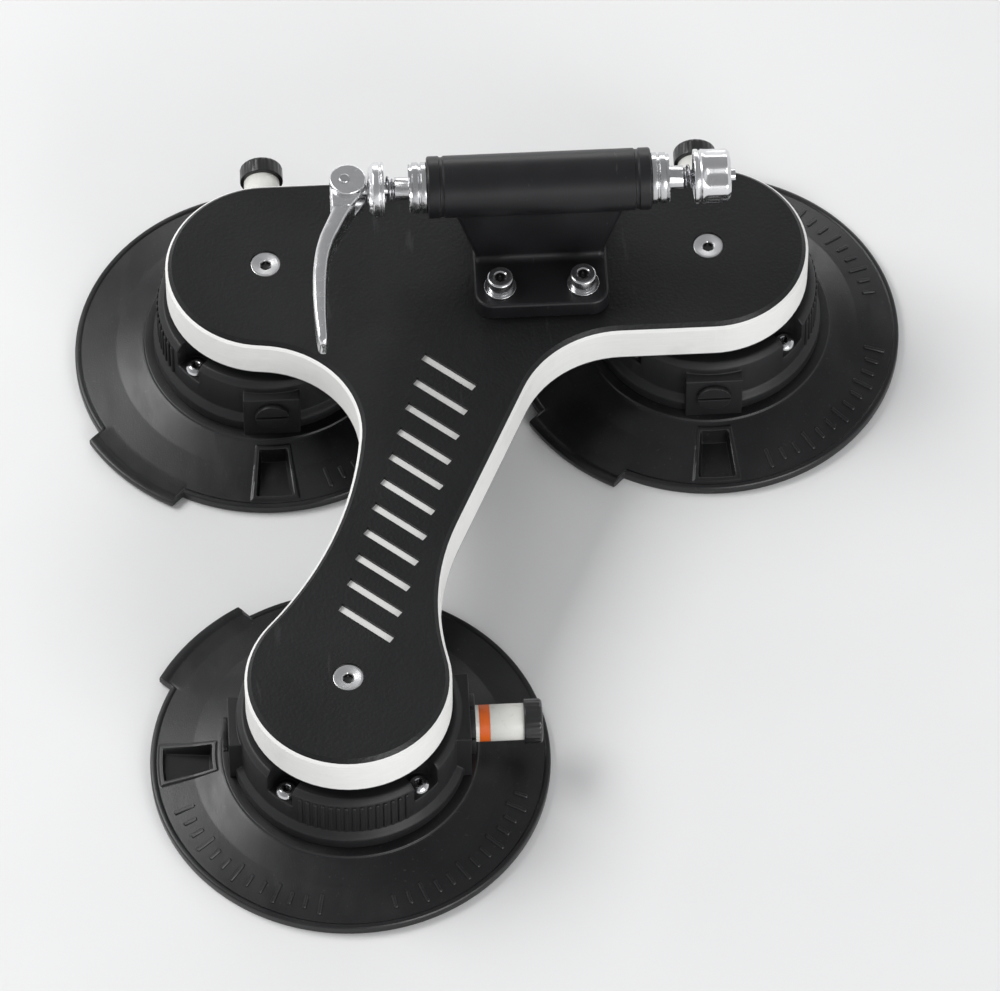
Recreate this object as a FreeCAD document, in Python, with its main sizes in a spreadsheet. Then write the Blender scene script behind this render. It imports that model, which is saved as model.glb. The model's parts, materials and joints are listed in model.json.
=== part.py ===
import FreeCAD, Part
import math
import os
import Sketcher

# Suction cup rack. A flat board of black, white and black plastic carries three
# vacuum mounts underneath and a quick-release fork mount on top.
# Millimetres. z = 0 is the flat surface that the pads stand on, and +Z points away
# from it. +X runs along the axle of the fork mount, and +Y points from the rear pad
# to the front pads. The origin is the middle of the footprint.

os.makedirs("parts", exist_ok=True)
document = FreeCAD.newDocument("suction_cup_bike_rack")
sizes = document.addObject("Spreadsheet::Sheet", "sizes")

# Driving dimensions

DIMENSIONS = {
    # vacuum pad
    "pad_radius": 76.2,
    "pad_rim_thickness": 3.5,
    "pad_edge_bevel": 1.0,
    "pad_shoulder_radius": 60.0,
    "pad_shoulder_height": 6.4,
    "pad_crown_height": 11.0,
    "pad_crown_thickness": 3.0,
    "chamber_side_gap": 2.0,
    "chamber_side_slope": 8.0,
    "notch_width": 12.0,
    "notch_outer_radius": 71.0,
    "notch_floor": 2.2,
    "tab_reach": 6.0,
    "tab_width": 44.0,
    "tab_thickness": 2.4,
    "tab_lift": 0.8,
    "tab_overlap": 8.0,
    # hub of a vacuum mount
    "hub_radius": 45.0,
    "hub_skirt_height": 5.0,
    "hub_skirt_step": 2.5,
    "hub_height": 27.0,
    "hub_top_bevel": 2.0,
    "lid_height": 3.0,
    "lid_inset": 6.5,
    "lid_bevel": 1.0,
    "hub_screw_inset": 7.0,
    "hub_screw_spread": 49.0,
    "hub_screw_radius": 2.0,
    "hub_screw_head_radius": 4.0,
    "hub_screw_head_height": 2.6,
    "hub_screw_seat": 16.0,
    "hub_screw_pocket_radius": 6.0,
    "clamp_plate_inset": 3.0,
    "clamp_plate_thickness": 2.5,
    "air_port_radius": 1.5,
    "air_port_place": 20.0,
    # hand pump inside the hub
    "pump_axis_height": 24.0,
    "pump_bore_radius": 8.0,
    "pump_boss_reach": 0.5,
    "pump_boss_width": 30.0,
    "pump_boss_height": 25.0,
    "gland_radius": 10.0,
    "gland_depth": 7.5,
    "gland_flange_radius": 11.5,
    "gland_flange_thickness": 2.0,
    "plunger_radius": 7.0,
    "plunger_travel": 18.0,
    "plunger_button_gap": 0.5,
    "button_radius": 8.5,
    "button_thickness": 7.0,
    "button_bevel": 2.0,
    "button_stem_radius": 4.0,
    "button_stem_length": 9.0,
    "piston_radius": 7.8,
    "piston_length": 8.0,
    "seal_width": 2.8,
    "seal_groove_radius": 6.0,
    "band_width": 4.0,
    "band_depth": 0.6,
    "band_offset": 1.5,
    "return_spring_radius": 6.0,
    "return_spring_wire": 1.2,
    "return_spring_turns": 9,
    # check valve opposite the plunger
    "valve_boss_reach": 1.0,
    "valve_boss_width": 22.0,
    "valve_boss_height": 22.0,
    "valve_seat_inset": 14.0,
    "valve_disc_radius": 6.8,
    "valve_disc_thickness": 1.2,
    "valve_stem_radius": 1.5,
    "valve_stem_length": 5.0,
    "plug_radius": 5.0,
    "plug_depth": 7.6,
    "plug_head_radius": 6.5,
    "plug_head_thickness": 2.0,
    "plug_slot_width": 1.6,
    "plug_slot_depth": 1.2,
    # board
    "cup_half_spacing": 86.0,
    "cup_row_distance": 193.0,
    "rear_cup_offset": 62.0,
    "lobe_radius": 39.0,
    "board_thickness": 19.0,
    "board_skin": 1.5,
    "board_top_bevel": 2.5,
    "board_bottom_bevel": 1.0,
    "left_fillet_radius": 40.0,
    "left_fillet_turn": 5.0,
    "left_stem_radius": 150.0,
    "right_fillet_radius": 42.0,
    "right_stem_radius": 95.0,
    "right_stem_contact": 12.0,
    "right_stem_heading": 65.0,
    "stripe_count": 11,
    "stripe_width": 3.4,
    "stripe_length": 25.0,
    "stripe_pitch": 12.0,
    "stripe_slant": 22.0,
    "stripe_first": 25.0,
    # bolts between board and hubs
    "board_bolt_radius": 3.0,
    "board_bolt_head_radius": 6.0,
    "board_bolt_head_sink": 0.4,
    "board_bolt_reach": 7.0,
    "socket_across_corners": 4.6,
    "socket_depth": 2.0,
    "insert_radius": 5.5,
    "insert_length": 8.0,
    # fork mount
    "mount_offset": 20.0,
    "axle_height": 45.0,
    "base_half_x": 26.0,
    "base_half_y": 31.0,
    "base_thickness": 8.0,
    "base_corner_radius": 7.0,
    "web_thickness": 16.0,
    "web_foot_half": 25.0,
    "web_head_half": 36.0,
    "barrel_radius": 12.0,
    "face_nut_length": 7.0,
    "fork_width": 100.0,
    "axle_radius": 6.0,
    "axle_thread_radius": 5.0,
    "axle_end_radius": 4.5,
    "axle_end_length": 5.5,
    "axle_bore_radius": 2.75,
    "face_nut_radius": 10.0,
    "dropout_gap": 9.5,
    "mount_bolt_radius": 3.0,
    "mount_bolt_spacing_x": 32.0,
    "mount_bolt_spacing_y": 44.0,
    "mount_bolt_head_radius": 5.0,
    "mount_bolt_head_height": 6.0,
    "mount_washer_radius": 6.2,
    "mount_washer_thickness": 1.2,
    "mount_nut_radius": 4.2,
    "mount_nut_flange_radius": 8.5,
    "mount_nut_flange_thickness": 1.6,
    "mount_nut_depth": 12.0,
    # quick release
    "rod_radius": 2.5,
    "rod_tail": 2.0,
    "cup_radius": 10.5,
    "cup_thickness": 6.5,
    "cup_recess_radius": 7.9,
    "cup_recess_depth": 3.0,
    "cup_bevel": 1.2,
    "cam_radius": 7.0,
    "cam_offset": 1.25,
    "cam_clearance": 0.4,
    "lever_root_clearance": 2.0,
    "cam_height": 16.0,
    "cam_slot_width": 6.6,
    "eye_radius": 4.6,
    "eye_thickness": 6.0,
    "cam_pin_radius": 2.0,
    "cam_pin_overhang": 0.6,
    "lever_length": 74.0,
    "lever_thickness": 7.0,
    "lever_width": 12.0,
    "lever_bow": 9.0,
    "nut_length": 14.0,
    "nut_recess_depth": 3.0,
    "nut_grip_radius": 10.5,
    "nut_grip_count": 5,
    "nut_grip_cut": 5.5,
    "nut_grip_bite": 1.4,
    "nut_plain_band": 1.0,
    "spring_wire": 0.8,
    "spring_small_radius": 3.35,
    "spring_large_radius": 6.9,
    "spring_turns": 3.5,
    # clearances
    "screw_clearance": 0.2,
    "thread_clearance": 0.05,
    "running_clearance": 0.08,
    "seal_clearance": 0.05,
    "seat_clearance": 0.1,
    "spring_end_clearance": 0.2,
    "slide_clearance": 0.1,
}

for row, (alias, value) in enumerate(DIMENSIONS.items(), start=1):
    sizes.set("A%d" % row, alias)
    sizes.set("B%d" % row, str(value))
    sizes.setAlias("B%d" % row, alias)

# Sizes that follow from the driving ones

DERIVED = {
    "front_y": "cup_row_distance / 2",
    "rear_y": "-cup_row_distance / 2",
    "hub_foot": "pad_crown_height",
    "screw_seat_z": "hub_foot + hub_screw_seat",
    "hub_top": "hub_foot + hub_height",
    "board_bottom": "hub_top + lid_height",
    "board_top": "board_bottom + board_thickness",
    "chamber_top": "pad_crown_height - pad_crown_thickness",
    "clamp_plate_bottom": "chamber_top - clamp_plate_thickness",
    "hub_wall_radius": "hub_radius - hub_skirt_step",
    "lid_radius": "hub_wall_radius - lid_inset",
    "hub_screw_circle": "hub_radius - hub_screw_inset",
    "clamp_plate_radius": "hub_radius - clamp_plate_inset",
    "chamber_top_radius": "clamp_plate_radius + chamber_side_gap",
    "chamber_mouth_radius": "chamber_top_radius + chamber_side_slope",
    "pump_boss_end": "hub_radius + pump_boss_reach",
    "valve_boss_end": "hub_radius + valve_boss_reach",
    "gland_inner_end": "pump_boss_end - gland_depth",
    "gland_outer_end": "pump_boss_end + gland_flange_thickness",
    "button_back": "gland_outer_end + plunger_button_gap + plunger_travel",
    "button_tip": "button_back + button_thickness",
    "piston_back": "gland_inner_end - piston_length",
    "valve_seat": "valve_boss_end - valve_seat_inset",
    "plug_inner_end": "valve_boss_end - plug_depth",
    "axle_z": "board_top + axle_height",
    "fork_half": "fork_width / 2",
    "barrel_half_length": "fork_half - face_nut_length",
    "axle_end": "fork_half + axle_end_length",
    "cup_face": "fork_half + dropout_gap",
    "cup_back": "cup_face + cup_thickness",
    "cam_pin_x": "cup_back + cam_clearance + cam_radius + cam_offset",
    "nut_end": "cup_face + nut_length",
}
first = len(DIMENSIONS) + 1
for row, (alias, formula) in enumerate(DERIVED.items(), start=first):
    sizes.set("A%d" % row, alias)
    sizes.set("B%d" % row, "=" + formula)
    sizes.setAlias("B%d" % row, alias)
document.recompute()


def size(alias):
    """The number that a cell of the sheet holds."""
    return float(sizes.get(alias))


def bound(expression):
    """The expression with each of its size names pointed at the sheet."""
    words = []
    word = ""
    for letter in expression + " ":
        if letter.isalnum() or letter == "_":
            word += letter
        else:
            known = word in DIMENSIONS or word in DERIVED
            words.append("sizes." + word if known else word)
            words.append(letter)
            word = ""
    return "".join(words).strip()


def number(expression):
    """What an expression comes to with the sheet as it stands."""
    result = sizes.evalExpression(bound(expression))
    return float(getattr(result, "Value", result))


# Turns that lay a cylinder's own +Z along another direction

TURNS = {
    "+Z": FreeCAD.Rotation(),
    "-Z": FreeCAD.Rotation(FreeCAD.Vector(1, 0, 0), 180),
    "+X": FreeCAD.Rotation(FreeCAD.Vector(0, 1, 0), 90),
    "-X": FreeCAD.Rotation(FreeCAD.Vector(0, 1, 0), -90),
    "+Y": FreeCAD.Rotation(FreeCAD.Vector(1, 0, 0), -90),
    "-Y": FreeCAD.Rotation(FreeCAD.Vector(1, 0, 0), 90),
}


def seat(thing, x, y, z, turn=None):
    """Bind a thing's place to the sheet and turn it."""
    if turn is not None:
        thing.Placement = FreeCAD.Placement(FreeCAD.Vector(), turn)
    for axis, expression in zip("xyz", (x, y, z)):
        thing.setExpression("Placement.Base." + axis, bound(expression))
    return thing


def cylinder(name, radius, height, x="0", y="0", z="0", along="+Z"):
    round_bar = document.addObject("Part::Cylinder", name)
    round_bar.setExpression("Radius", bound(radius))
    round_bar.setExpression("Height", bound(height))
    return seat(round_bar, x, y, z, TURNS[along])


def cone(name, start_radius, end_radius, height, x="0", y="0", z="0", along="+Z"):
    taper = document.addObject("Part::Cone", name)
    taper.setExpression("Radius1", bound(start_radius))
    taper.setExpression("Radius2", bound(end_radius))
    taper.setExpression("Height", bound(height))
    return seat(taper, x, y, z, TURNS[along])


def box(name, x_size, y_size, z_size, x, y, z, turn=None):
    block = document.addObject("Part::Box", name)
    block.setExpression("Length", bound(x_size))
    block.setExpression("Width", bound(y_size))
    block.setExpression("Height", bound(z_size))
    return seat(block, x, y, z, turn)


def fuse(name, *shapes):
    joined = document.addObject("Part::MultiFuse", name)
    joined.Shapes = list(shapes)
    return joined


def group(name, *shapes):
    """Separate solids under one name, for a set of like fasteners."""
    bundle = document.addObject("Part::Compound", name)
    bundle.Links = list(shapes)
    return bundle


def cut(name, base, *tools):
    opened = document.addObject("Part::Cut", name)
    opened.Base = base
    opened.Tool = tools[0] if len(tools) == 1 else fuse(name + "_tools", *tools)
    return opened


def common(name, base, tool):
    shared = document.addObject("Part::Common", name)
    shared.Base = base
    shared.Tool = tool
    return shared


def origin_plane(body, role):
    for feature in body.Origin.OriginFeatures:
        if feature.Role == role:
            return feature


def outline_sketch(body, name, role, corners):
    """A closed sketch of straight lines whose corners are bound to the sheet."""
    sketch = body.newObject("Sketcher::SketchObject", name)
    sketch.AttachmentSupport = [(origin_plane(body, role), "")]
    sketch.MapMode = "FlatFace"
    places = [FreeCAD.Vector(number(across), number(up), 0) for across, up in corners]
    following = places[1:] + places[:1]
    for start, end in zip(places, following):
        sketch.addGeometry(Part.LineSegment(start, end), False)
    count = len(places)
    for line in range(count):
        next_line = (line + 1) % count
        sketch.addConstraint(Sketcher.Constraint("Coincident", line, 2, next_line, 1))
    for line, (across, up) in enumerate(corners):
        for kind, axis_line, expression in (("DistanceX", -2, across), ("DistanceY", -1, up)):
            if expression == "0":
                sketch.addConstraint(Sketcher.Constraint("PointOnObject", line, 1, axis_line))
                continue
            distance = Sketcher.Constraint(kind, -1, 1, line, 1, number(expression))
            index = sketch.addConstraint(distance)
            sketch.setExpression("Constraints[%d]" % index, bound(expression))
    return sketch


def turned(name, corners, about="V_Axis", role="XZ_Plane"):
    """A body turned from a profile of (radius, height) corners."""
    body = document.addObject("PartDesign::Body", name)
    profile = outline_sketch(body, name + "_profile", role, corners)
    turning = body.newObject("PartDesign::Revolution", name + "_turning")
    turning.Profile = profile
    turning.ReferenceAxis = (profile, [about])
    turning.Angle = 360
    return body


def laid(name, corners):
    """A turned body whose axis lies along X: corners are (place on X, radius)."""
    return turned(name, corners, about="H_Axis")


def on_circle(radius, angle):
    """Expressions for a point on a circle about the origin."""
    return "%s * cos((%s) * 1 deg)" % (radius, angle), "%s * sin((%s) * 1 deg)" % (radius, angle)


NODES = []


def finish(thing, label):
    """Give a finished sub-part the name of its node."""
    thing.Label = label
    NODES.append(thing)
    return thing


# One vacuum mount. Its own X axis is the pump axis: the plunger leaves towards +X,
# the check valve and the pad's finger notch are on the -X side.

CUPS = {
    "left": ("-cup_half_spacing", "front_y", 90),
    "right": ("cup_half_spacing", "front_y", 90),
    "rear": ("-rear_cup_offset", "rear_y", 0),
}
SCREW_ANGLES = (
    "hub_screw_spread",
    "180 - hub_screw_spread",
    "180 + hub_screw_spread",
    "-hub_screw_spread",
)
TAB_ANGLE = 135


def carry(cup, thing, label):
    """Turn a finished piece of a vacuum mount and put it under its lobe."""
    x, y, angle = CUPS[cup]
    about_z = FreeCAD.Rotation(FreeCAD.Vector(0, 0, 1), angle)
    return finish(seat(thing, x, y, "0", about_z), cup + "_" + label)


def screw_bars(name, radius, height, z):
    """Four upright bars on the hub's screw circle."""
    bars = []
    for index, angle in enumerate(SCREW_ANGLES):
        x, y = on_circle("hub_screw_circle", angle)
        bars.append(cylinder("%s_%d" % (name, index), radius, height, x, y, z))
    return bars


def vacuum_pad(cup):
    """Rubber dish: flat sealing lip, hollow under the crown, notch and pull tab."""
    name = cup + "_pad"
    dish = turned(name + "_dish", [
        ("0", "chamber_top"),
        ("chamber_top_radius", "chamber_top"),
        ("chamber_mouth_radius", "0"),
        ("pad_radius", "0"),
        ("pad_radius", "pad_rim_thickness - pad_edge_bevel"),
        ("pad_radius - pad_edge_bevel", "pad_rim_thickness"),
        ("pad_shoulder_radius", "pad_shoulder_height"),
        ("hub_radius + pad_edge_bevel", "pad_crown_height"),
        ("0", "pad_crown_height"),
    ])
    tab_disc = cylinder(name + "_tab_disc", "pad_radius + tab_reach", "tab_thickness",
                        z="tab_lift")
    tab_hole = cylinder(name + "_tab_hole", "pad_radius - tab_overlap", "tab_thickness",
                        z="tab_lift")
    tab_ring = cut(name + "_tab_ring", tab_disc, tab_hole)
    tab_turn = FreeCAD.Rotation(FreeCAD.Vector(0, 0, 1), TAB_ANGLE)
    across = "tab_width / 2 * sin(%d * 1 deg)" % TAB_ANGLE
    upward = "-tab_width / 2 * cos(%d * 1 deg)" % TAB_ANGLE
    reach = "pad_radius + 2 * tab_reach"
    tab_box = box(name + "_tab_box", reach, "tab_width", "pad_rim_thickness",
                  across, upward, "0", tab_turn)
    tab = common(name + "_tab", tab_ring, tab_box)
    whole = fuse(name + "_whole", dish, tab)
    notch = box(name + "_notch", "notch_outer_radius - chamber_mouth_radius - pad_edge_bevel",
                "notch_width", "pad_crown_height", "-notch_outer_radius", "-notch_width / 2",
                "notch_floor")
    holes = screw_bars(name + "_hole", "hub_screw_radius + screw_clearance",
                       "pad_crown_thickness", "chamber_top")
    port = cylinder(name + "_port", "air_port_radius", "pad_crown_thickness",
                    "-air_port_place", z="chamber_top")
    carry(cup, cut(name, whole, notch, port, *holes), "pad")


def clamp_plate(cup):
    """Steel disc under the crown that the hub screws pull up against the rubber."""
    name = cup + "_clamp_plate"
    disc = cylinder(name + "_disc", "clamp_plate_radius", "clamp_plate_thickness",
                    z="clamp_plate_bottom")
    holes = screw_bars(name + "_hole", "hub_screw_radius + thread_clearance",
                       "clamp_plate_thickness", "clamp_plate_bottom")
    port = cylinder(name + "_port", "air_port_radius", "clamp_plate_thickness",
                    "-air_port_place", z="clamp_plate_bottom")
    carry(cup, cut(name, disc, port, *holes), "clamp_plate")


def hub(cup):
    """Moulded housing that holds the pump bore, the screw pockets and the insert."""
    name = cup + "_hub"
    shell = turned(name + "_shell", [
        ("0", "hub_foot"),
        ("hub_radius", "hub_foot"),
        ("hub_radius", "hub_foot + hub_skirt_height"),
        ("hub_wall_radius", "hub_foot + hub_skirt_height + hub_radius - hub_wall_radius"),
        ("hub_wall_radius", "hub_top - hub_top_bevel"),
        ("hub_wall_radius - hub_top_bevel", "hub_top"),
        ("0", "hub_top"),
    ])
    pump_boss = box(name + "_pump_boss", "pump_boss_end", "pump_boss_width", "pump_boss_height",
                    "0", "-pump_boss_width / 2", "hub_foot")
    valve_boss = box(name + "_valve_boss", "valve_boss_end", "valve_boss_width",
                     "valve_boss_height", "-valve_boss_end", "-valve_boss_width / 2", "hub_foot")
    whole = fuse(name + "_whole", shell, pump_boss, valve_boss)
    bore = cylinder(name + "_bore", "pump_bore_radius", "valve_seat + pump_boss_end",
                    "-valve_seat", z="pump_axis_height", along="+X")
    gland_seat = cylinder(name + "_gland_seat", "gland_radius + thread_clearance", "gland_depth",
                          "gland_inner_end", z="pump_axis_height", along="+X")
    valve_way = cylinder(name + "_valve_way", "valve_stem_radius + seat_clearance",
                         "valve_boss_end - valve_seat", "-valve_boss_end",
                         z="pump_axis_height", along="+X")
    plug_seat = cylinder(name + "_plug_seat", "plug_radius + thread_clearance", "plug_depth",
                         "-valve_boss_end", z="pump_axis_height", along="+X")
    port = cylinder(name + "_port", "air_port_radius", "pump_axis_height - hub_foot",
                    "-air_port_place", z="hub_foot")
    insert_seat = cylinder(name + "_insert_seat", "insert_radius + thread_clearance",
                           "insert_length", z="board_bottom - insert_length")
    holes = screw_bars(name + "_hole", "hub_screw_radius + screw_clearance", "hub_screw_seat",
                       "hub_foot")
    pockets = screw_bars(name + "_pocket", "hub_screw_pocket_radius", "hub_height",
                         "screw_seat_z")
    for index, angle in enumerate(SCREW_ANGLES):
        x, y = on_circle("hub_screw_circle", angle)
        inward = "%s + hub_screw_pocket_radius * sin((%s) * 1 deg)" % (x, angle)
        sideways = "%s - hub_screw_pocket_radius * cos((%s) * 1 deg)" % (y, angle)
        turn = FreeCAD.Rotation(FreeCAD.Vector(0, 0, 1), number(angle))
        pockets.append(box("%s_mouth_%d" % (name, index), "hub_radius",
                           "2 * hub_screw_pocket_radius", "hub_height", inward, sideways,
                           "screw_seat_z", turn))
    openings = [bore, gland_seat, valve_way, plug_seat, port, insert_seat]
    carry(cup, cut(name, whole, *openings, *holes, *pockets), "hub")


def hub_lid(cup):
    """Cover between the housing and the board."""
    name = cup + "_hub_lid"
    disc = turned(name + "_disc", [
        ("insert_radius + thread_clearance", "hub_top"),
        ("lid_radius", "hub_top"),
        ("lid_radius", "board_bottom - lid_bevel"),
        ("lid_radius - lid_bevel", "board_bottom"),
        ("insert_radius + thread_clearance", "board_bottom"),
    ])
    pockets = screw_bars(name + "_pocket", "hub_screw_pocket_radius", "2 * lid_height", "hub_top")
    carry(cup, cut(name, disc, *pockets), "hub_lid")


def hub_screws(cup):
    """Four pan-head screws from the pockets down into the clamp plate."""
    name = cup + "_hub_screws"
    shanks = screw_bars(name + "_shank", "hub_screw_radius", "screw_seat_z - clamp_plate_bottom",
                        "clamp_plate_bottom")
    heads = screw_bars(name + "_head", "hub_screw_head_radius", "hub_screw_head_height",
                       "screw_seat_z")
    screws = [fuse("%s_%d" % (name, k), shanks[k], heads[k]) for k in range(len(shanks))]
    carry(cup, group(name, *screws), "hub_screws")


def insert(cup):
    """Threaded brass insert that the board bolt screws into."""
    name = cup + "_insert"
    sleeve = cylinder(name + "_sleeve", "insert_radius", "insert_length",
                      z="board_bottom - insert_length")
    thread = cylinder(name + "_thread", "board_bolt_radius + thread_clearance", "insert_length",
                      z="board_bottom - insert_length")
    carry(cup, cut(name, sleeve, thread), "insert")


def gland(cup):
    """Threaded collar that closes the pump bore and guides the plunger."""
    name = cup + "_gland"
    collar = laid(name, [
        ("gland_inner_end", "plunger_radius + running_clearance"),
        ("gland_inner_end", "gland_radius"),
        ("pump_boss_end", "gland_radius"),
        ("pump_boss_end", "gland_flange_radius"),
        ("gland_outer_end", "gland_flange_radius"),
        ("gland_outer_end", "plunger_radius + running_clearance"),
    ])
    raised(cup, collar, "gland")


def raised(cup, thing, label):
    """Carry a piece that was turned about X up to the pump axis."""
    x, y, angle = CUPS[cup]
    about_z = FreeCAD.Rotation(FreeCAD.Vector(0, 0, 1), angle)
    return finish(seat(thing, x, y, "pump_axis_height", about_z), cup + "_" + label)


def plunger(cup):
    """White tube with its piston head, seal groove, band groove and stem hole."""
    name = cup + "_plunger"
    seal_back = "piston_back + (piston_length - seal_width) / 2"
    seal_front = "piston_back + (piston_length + seal_width) / 2"
    tube = laid(name, [
        ("piston_back", "0"),
        ("piston_back", "piston_radius"),
        (seal_back, "piston_radius"),
        (seal_back, "seal_groove_radius"),
        (seal_front, "seal_groove_radius"),
        (seal_front, "piston_radius"),
        ("gland_inner_end - slide_clearance", "piston_radius"),
        ("gland_inner_end - slide_clearance", "plunger_radius"),
        ("gland_outer_end + band_offset", "plunger_radius"),
        ("gland_outer_end + band_offset", "plunger_radius - band_depth"),
        ("gland_outer_end + band_offset + band_width", "plunger_radius - band_depth"),
        ("gland_outer_end + band_offset + band_width", "plunger_radius"),
        ("button_back", "plunger_radius"),
        ("button_back", "button_stem_radius + seat_clearance"),
        ("button_back - button_stem_length", "button_stem_radius + seat_clearance"),
        ("button_back - button_stem_length", "0"),
    ])
    raised(cup, tube, "plunger")


def seal(cup):
    """Rubber ring in the piston's groove."""
    ring = laid(cup + "_piston_seal", [
        ("piston_back + (piston_length - seal_width) / 2 + seal_clearance",
         "seal_groove_radius + seal_clearance"),
        ("piston_back + (piston_length - seal_width) / 2 + seal_clearance",
         "pump_bore_radius - seal_clearance"),
        ("piston_back + (piston_length + seal_width) / 2 - seal_clearance",
         "pump_bore_radius - seal_clearance"),
        ("piston_back + (piston_length + seal_width) / 2 - seal_clearance",
         "seal_groove_radius + seal_clearance"),
    ])
    raised(cup, ring, "piston_seal")


def band(cup):
    """Orange ring let into the tube: it shows when the pad has lost its vacuum."""
    ring = laid(cup + "_warning_band", [
        ("gland_outer_end + band_offset", "plunger_radius - band_depth"),
        ("gland_outer_end + band_offset", "plunger_radius"),
        ("gland_outer_end + band_offset + band_width", "plunger_radius"),
        ("gland_outer_end + band_offset + band_width", "plunger_radius - band_depth"),
    ])
    raised(cup, ring, "warning_band")


def button(cup):
    """Black thumb cap with a stem in the end of the tube."""
    cap = laid(cup + "_button", [
        ("button_back - button_stem_length + seat_clearance", "0"),
        ("button_back - button_stem_length + seat_clearance", "button_stem_radius"),
        ("button_back", "button_stem_radius"),
        ("button_back", "button_radius"),
        ("button_tip - button_bevel", "button_radius"),
        ("button_tip", "button_radius - button_bevel"),
        ("button_tip", "0"),
    ])
    raised(cup, cap, "button")


def check_valve(cup):
    """Rubber disc on a stem that lets air out of the pump and not back."""
    valve = laid(cup + "_check_valve", [
        ("-valve_seat - valve_stem_length", "0"),
        ("-valve_seat - valve_stem_length", "valve_stem_radius"),
        ("-valve_seat", "valve_stem_radius"),
        ("-valve_seat", "valve_disc_radius"),
        ("-valve_seat + valve_disc_thickness", "valve_disc_radius"),
        ("-valve_seat + valve_disc_thickness", "0"),
    ])
    raised(cup, valve, "check_valve")


def valve_plug(cup):
    """Slotted plug that closes the valve's seat from outside."""
    name = cup + "_valve_plug"
    screw = laid(name + "_screw", [
        ("-valve_boss_end - plug_head_thickness", "0"),
        ("-valve_boss_end - plug_head_thickness", "plug_head_radius"),
        ("-valve_boss_end", "plug_head_radius"),
        ("-valve_boss_end", "plug_radius"),
        ("-plug_inner_end", "plug_radius"),
        ("-plug_inner_end", "0"),
    ])
    slot = box(name + "_slot", "plug_slot_depth", "2 * plug_head_radius", "plug_slot_width",
               "-valve_boss_end - plug_head_thickness", "-plug_head_radius",
               "-plug_slot_width / 2")
    raised(cup, cut(name, screw, slot), "valve_plug")


# Wound wire: each turn is four quarter turns, and each of those is two arcs that
# share a tangent, so the wire is one smooth path.

def arc_middle(start, corner, end):
    """The middle of the arc that touches start to corner and corner to end."""
    chord = (start + end) * 0.5
    rise = corner - chord
    turn = math.pi - (start - corner).getAngle(end - corner)
    sagitta = (end - start).Length / 2 * math.tan(turn / 4)
    return chord + rise * (sagitta / rise.Length)


def smooth_pair(start, heading, end, end_heading):
    """Two arcs from one point and heading to another."""
    across = end - start
    both = heading + end_heading
    a = 2 * (heading.dot(end_heading) - 1)
    b = -2 * across.dot(both)
    c = across.dot(across)
    reach = (-b - math.sqrt(b * b - 4 * a * c)) / (2 * a)
    if reach < 0:
        reach = (-b + math.sqrt(b * b - 4 * a * c)) / (2 * a)
    first_corner = start + heading * reach
    second_corner = end - end_heading * reach
    middle = (first_corner + second_corner) * 0.5
    return [
        Part.Arc(start, arc_middle(start, first_corner, middle), middle).toShape(),
        Part.Arc(middle, arc_middle(middle, second_corner, end), end).toShape(),
    ]


def wound_wire(label, start_radius, end_radius, start, end, turns, wire, side=1):
    """A spring along X between two places: one unbroken tube with straight ends."""
    quarters = round(turns * 4)

    def place(step):
        share = step / quarters
        radius = start_radius + (end_radius - start_radius) * share
        angle = step * math.pi / 2
        along = start + wire / 2 + (end - start - wire) * share
        return FreeCAD.Vector(side * along, side * radius * math.cos(angle),
                              radius * math.sin(angle))

    def heading(step):
        nudge = 0.001
        direction = place(step + nudge) - place(step - nudge)
        return direction.normalize()

    places = [place(step) for step in range(quarters + 1)]
    headings = [heading(step) for step in range(quarters + 1)]
    for last in (0, quarters):
        headings[last] = FreeCAD.Vector(0, headings[last].y, headings[last].z).normalize()
    edges = [Part.LineSegment(places[0] - headings[0] * wire, places[0]).toShape()]
    for step in range(quarters):
        edges += smooth_pair(places[step], headings[step], places[step + 1], headings[step + 1])
    edges.append(Part.LineSegment(places[-1], places[-1] + headings[-1] * wire).toShape())
    path = Part.Wire(edges)
    profile = Part.Wire([Part.Circle(places[0] - headings[0] * wire, headings[0],
                                     wire / 2).toShape()])
    tube = path.makePipeShell([profile], True, False)
    samples = []
    for step in range(quarters * 6 + 1):
        samples.append(place(step / 6))
    apart = 12
    gaps = []
    for index, sample in enumerate(samples):
        for other in samples[index + apart:]:
            gaps.append((sample - other).Length - wire)
    print("%s: least gap to itself %.2f mm" % (label, min(gaps)))
    return tube


def wire_part(name, tube):
    coil = document.addObject("Part::Feature", name)
    coil.Shape = tube
    return coil


def return_spring(cup):
    """Coil behind the piston that pushes the plunger out."""
    start = -size("valve_seat") + size("valve_disc_thickness") + size("spring_end_clearance")
    end = size("piston_back") - size("spring_end_clearance")
    name = cup + "_return_spring"
    radius = size("return_spring_radius")
    tube = wound_wire(name, radius, radius, start, end, size("return_spring_turns"),
                      size("return_spring_wire"))
    raised(cup, wire_part(name, tube), "return_spring")


for cup_name in CUPS:
    vacuum_pad(cup_name)
    clamp_plate(cup_name)
    hub(cup_name)
    hub_lid(cup_name)
    hub_screws(cup_name)
    insert(cup_name)
    gland(cup_name)
    plunger(cup_name)
    seal(cup_name)
    band(cup_name)
    button(cup_name)
    return_spring(cup_name)
    check_valve(cup_name)
    valve_plug(cup_name)


# The board's outline: three round lobes joined by a bar and a stem with hollow
# flanks. Every arc touches its neighbours.

def meeting_point(centre, reach, other_centre, other_reach, side):
    """Where two circles cross, on one side of the line between their centres."""
    line = other_centre - centre
    apart = line.Length
    along = (reach ** 2 - other_reach ** 2 + apart ** 2) / (2 * apart)
    across = math.sqrt(reach ** 2 - along ** 2)
    unit = line / apart
    normal = FreeCAD.Vector(-unit.y, unit.x, 0)
    return centre + unit * along + normal * (across * side)


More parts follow.
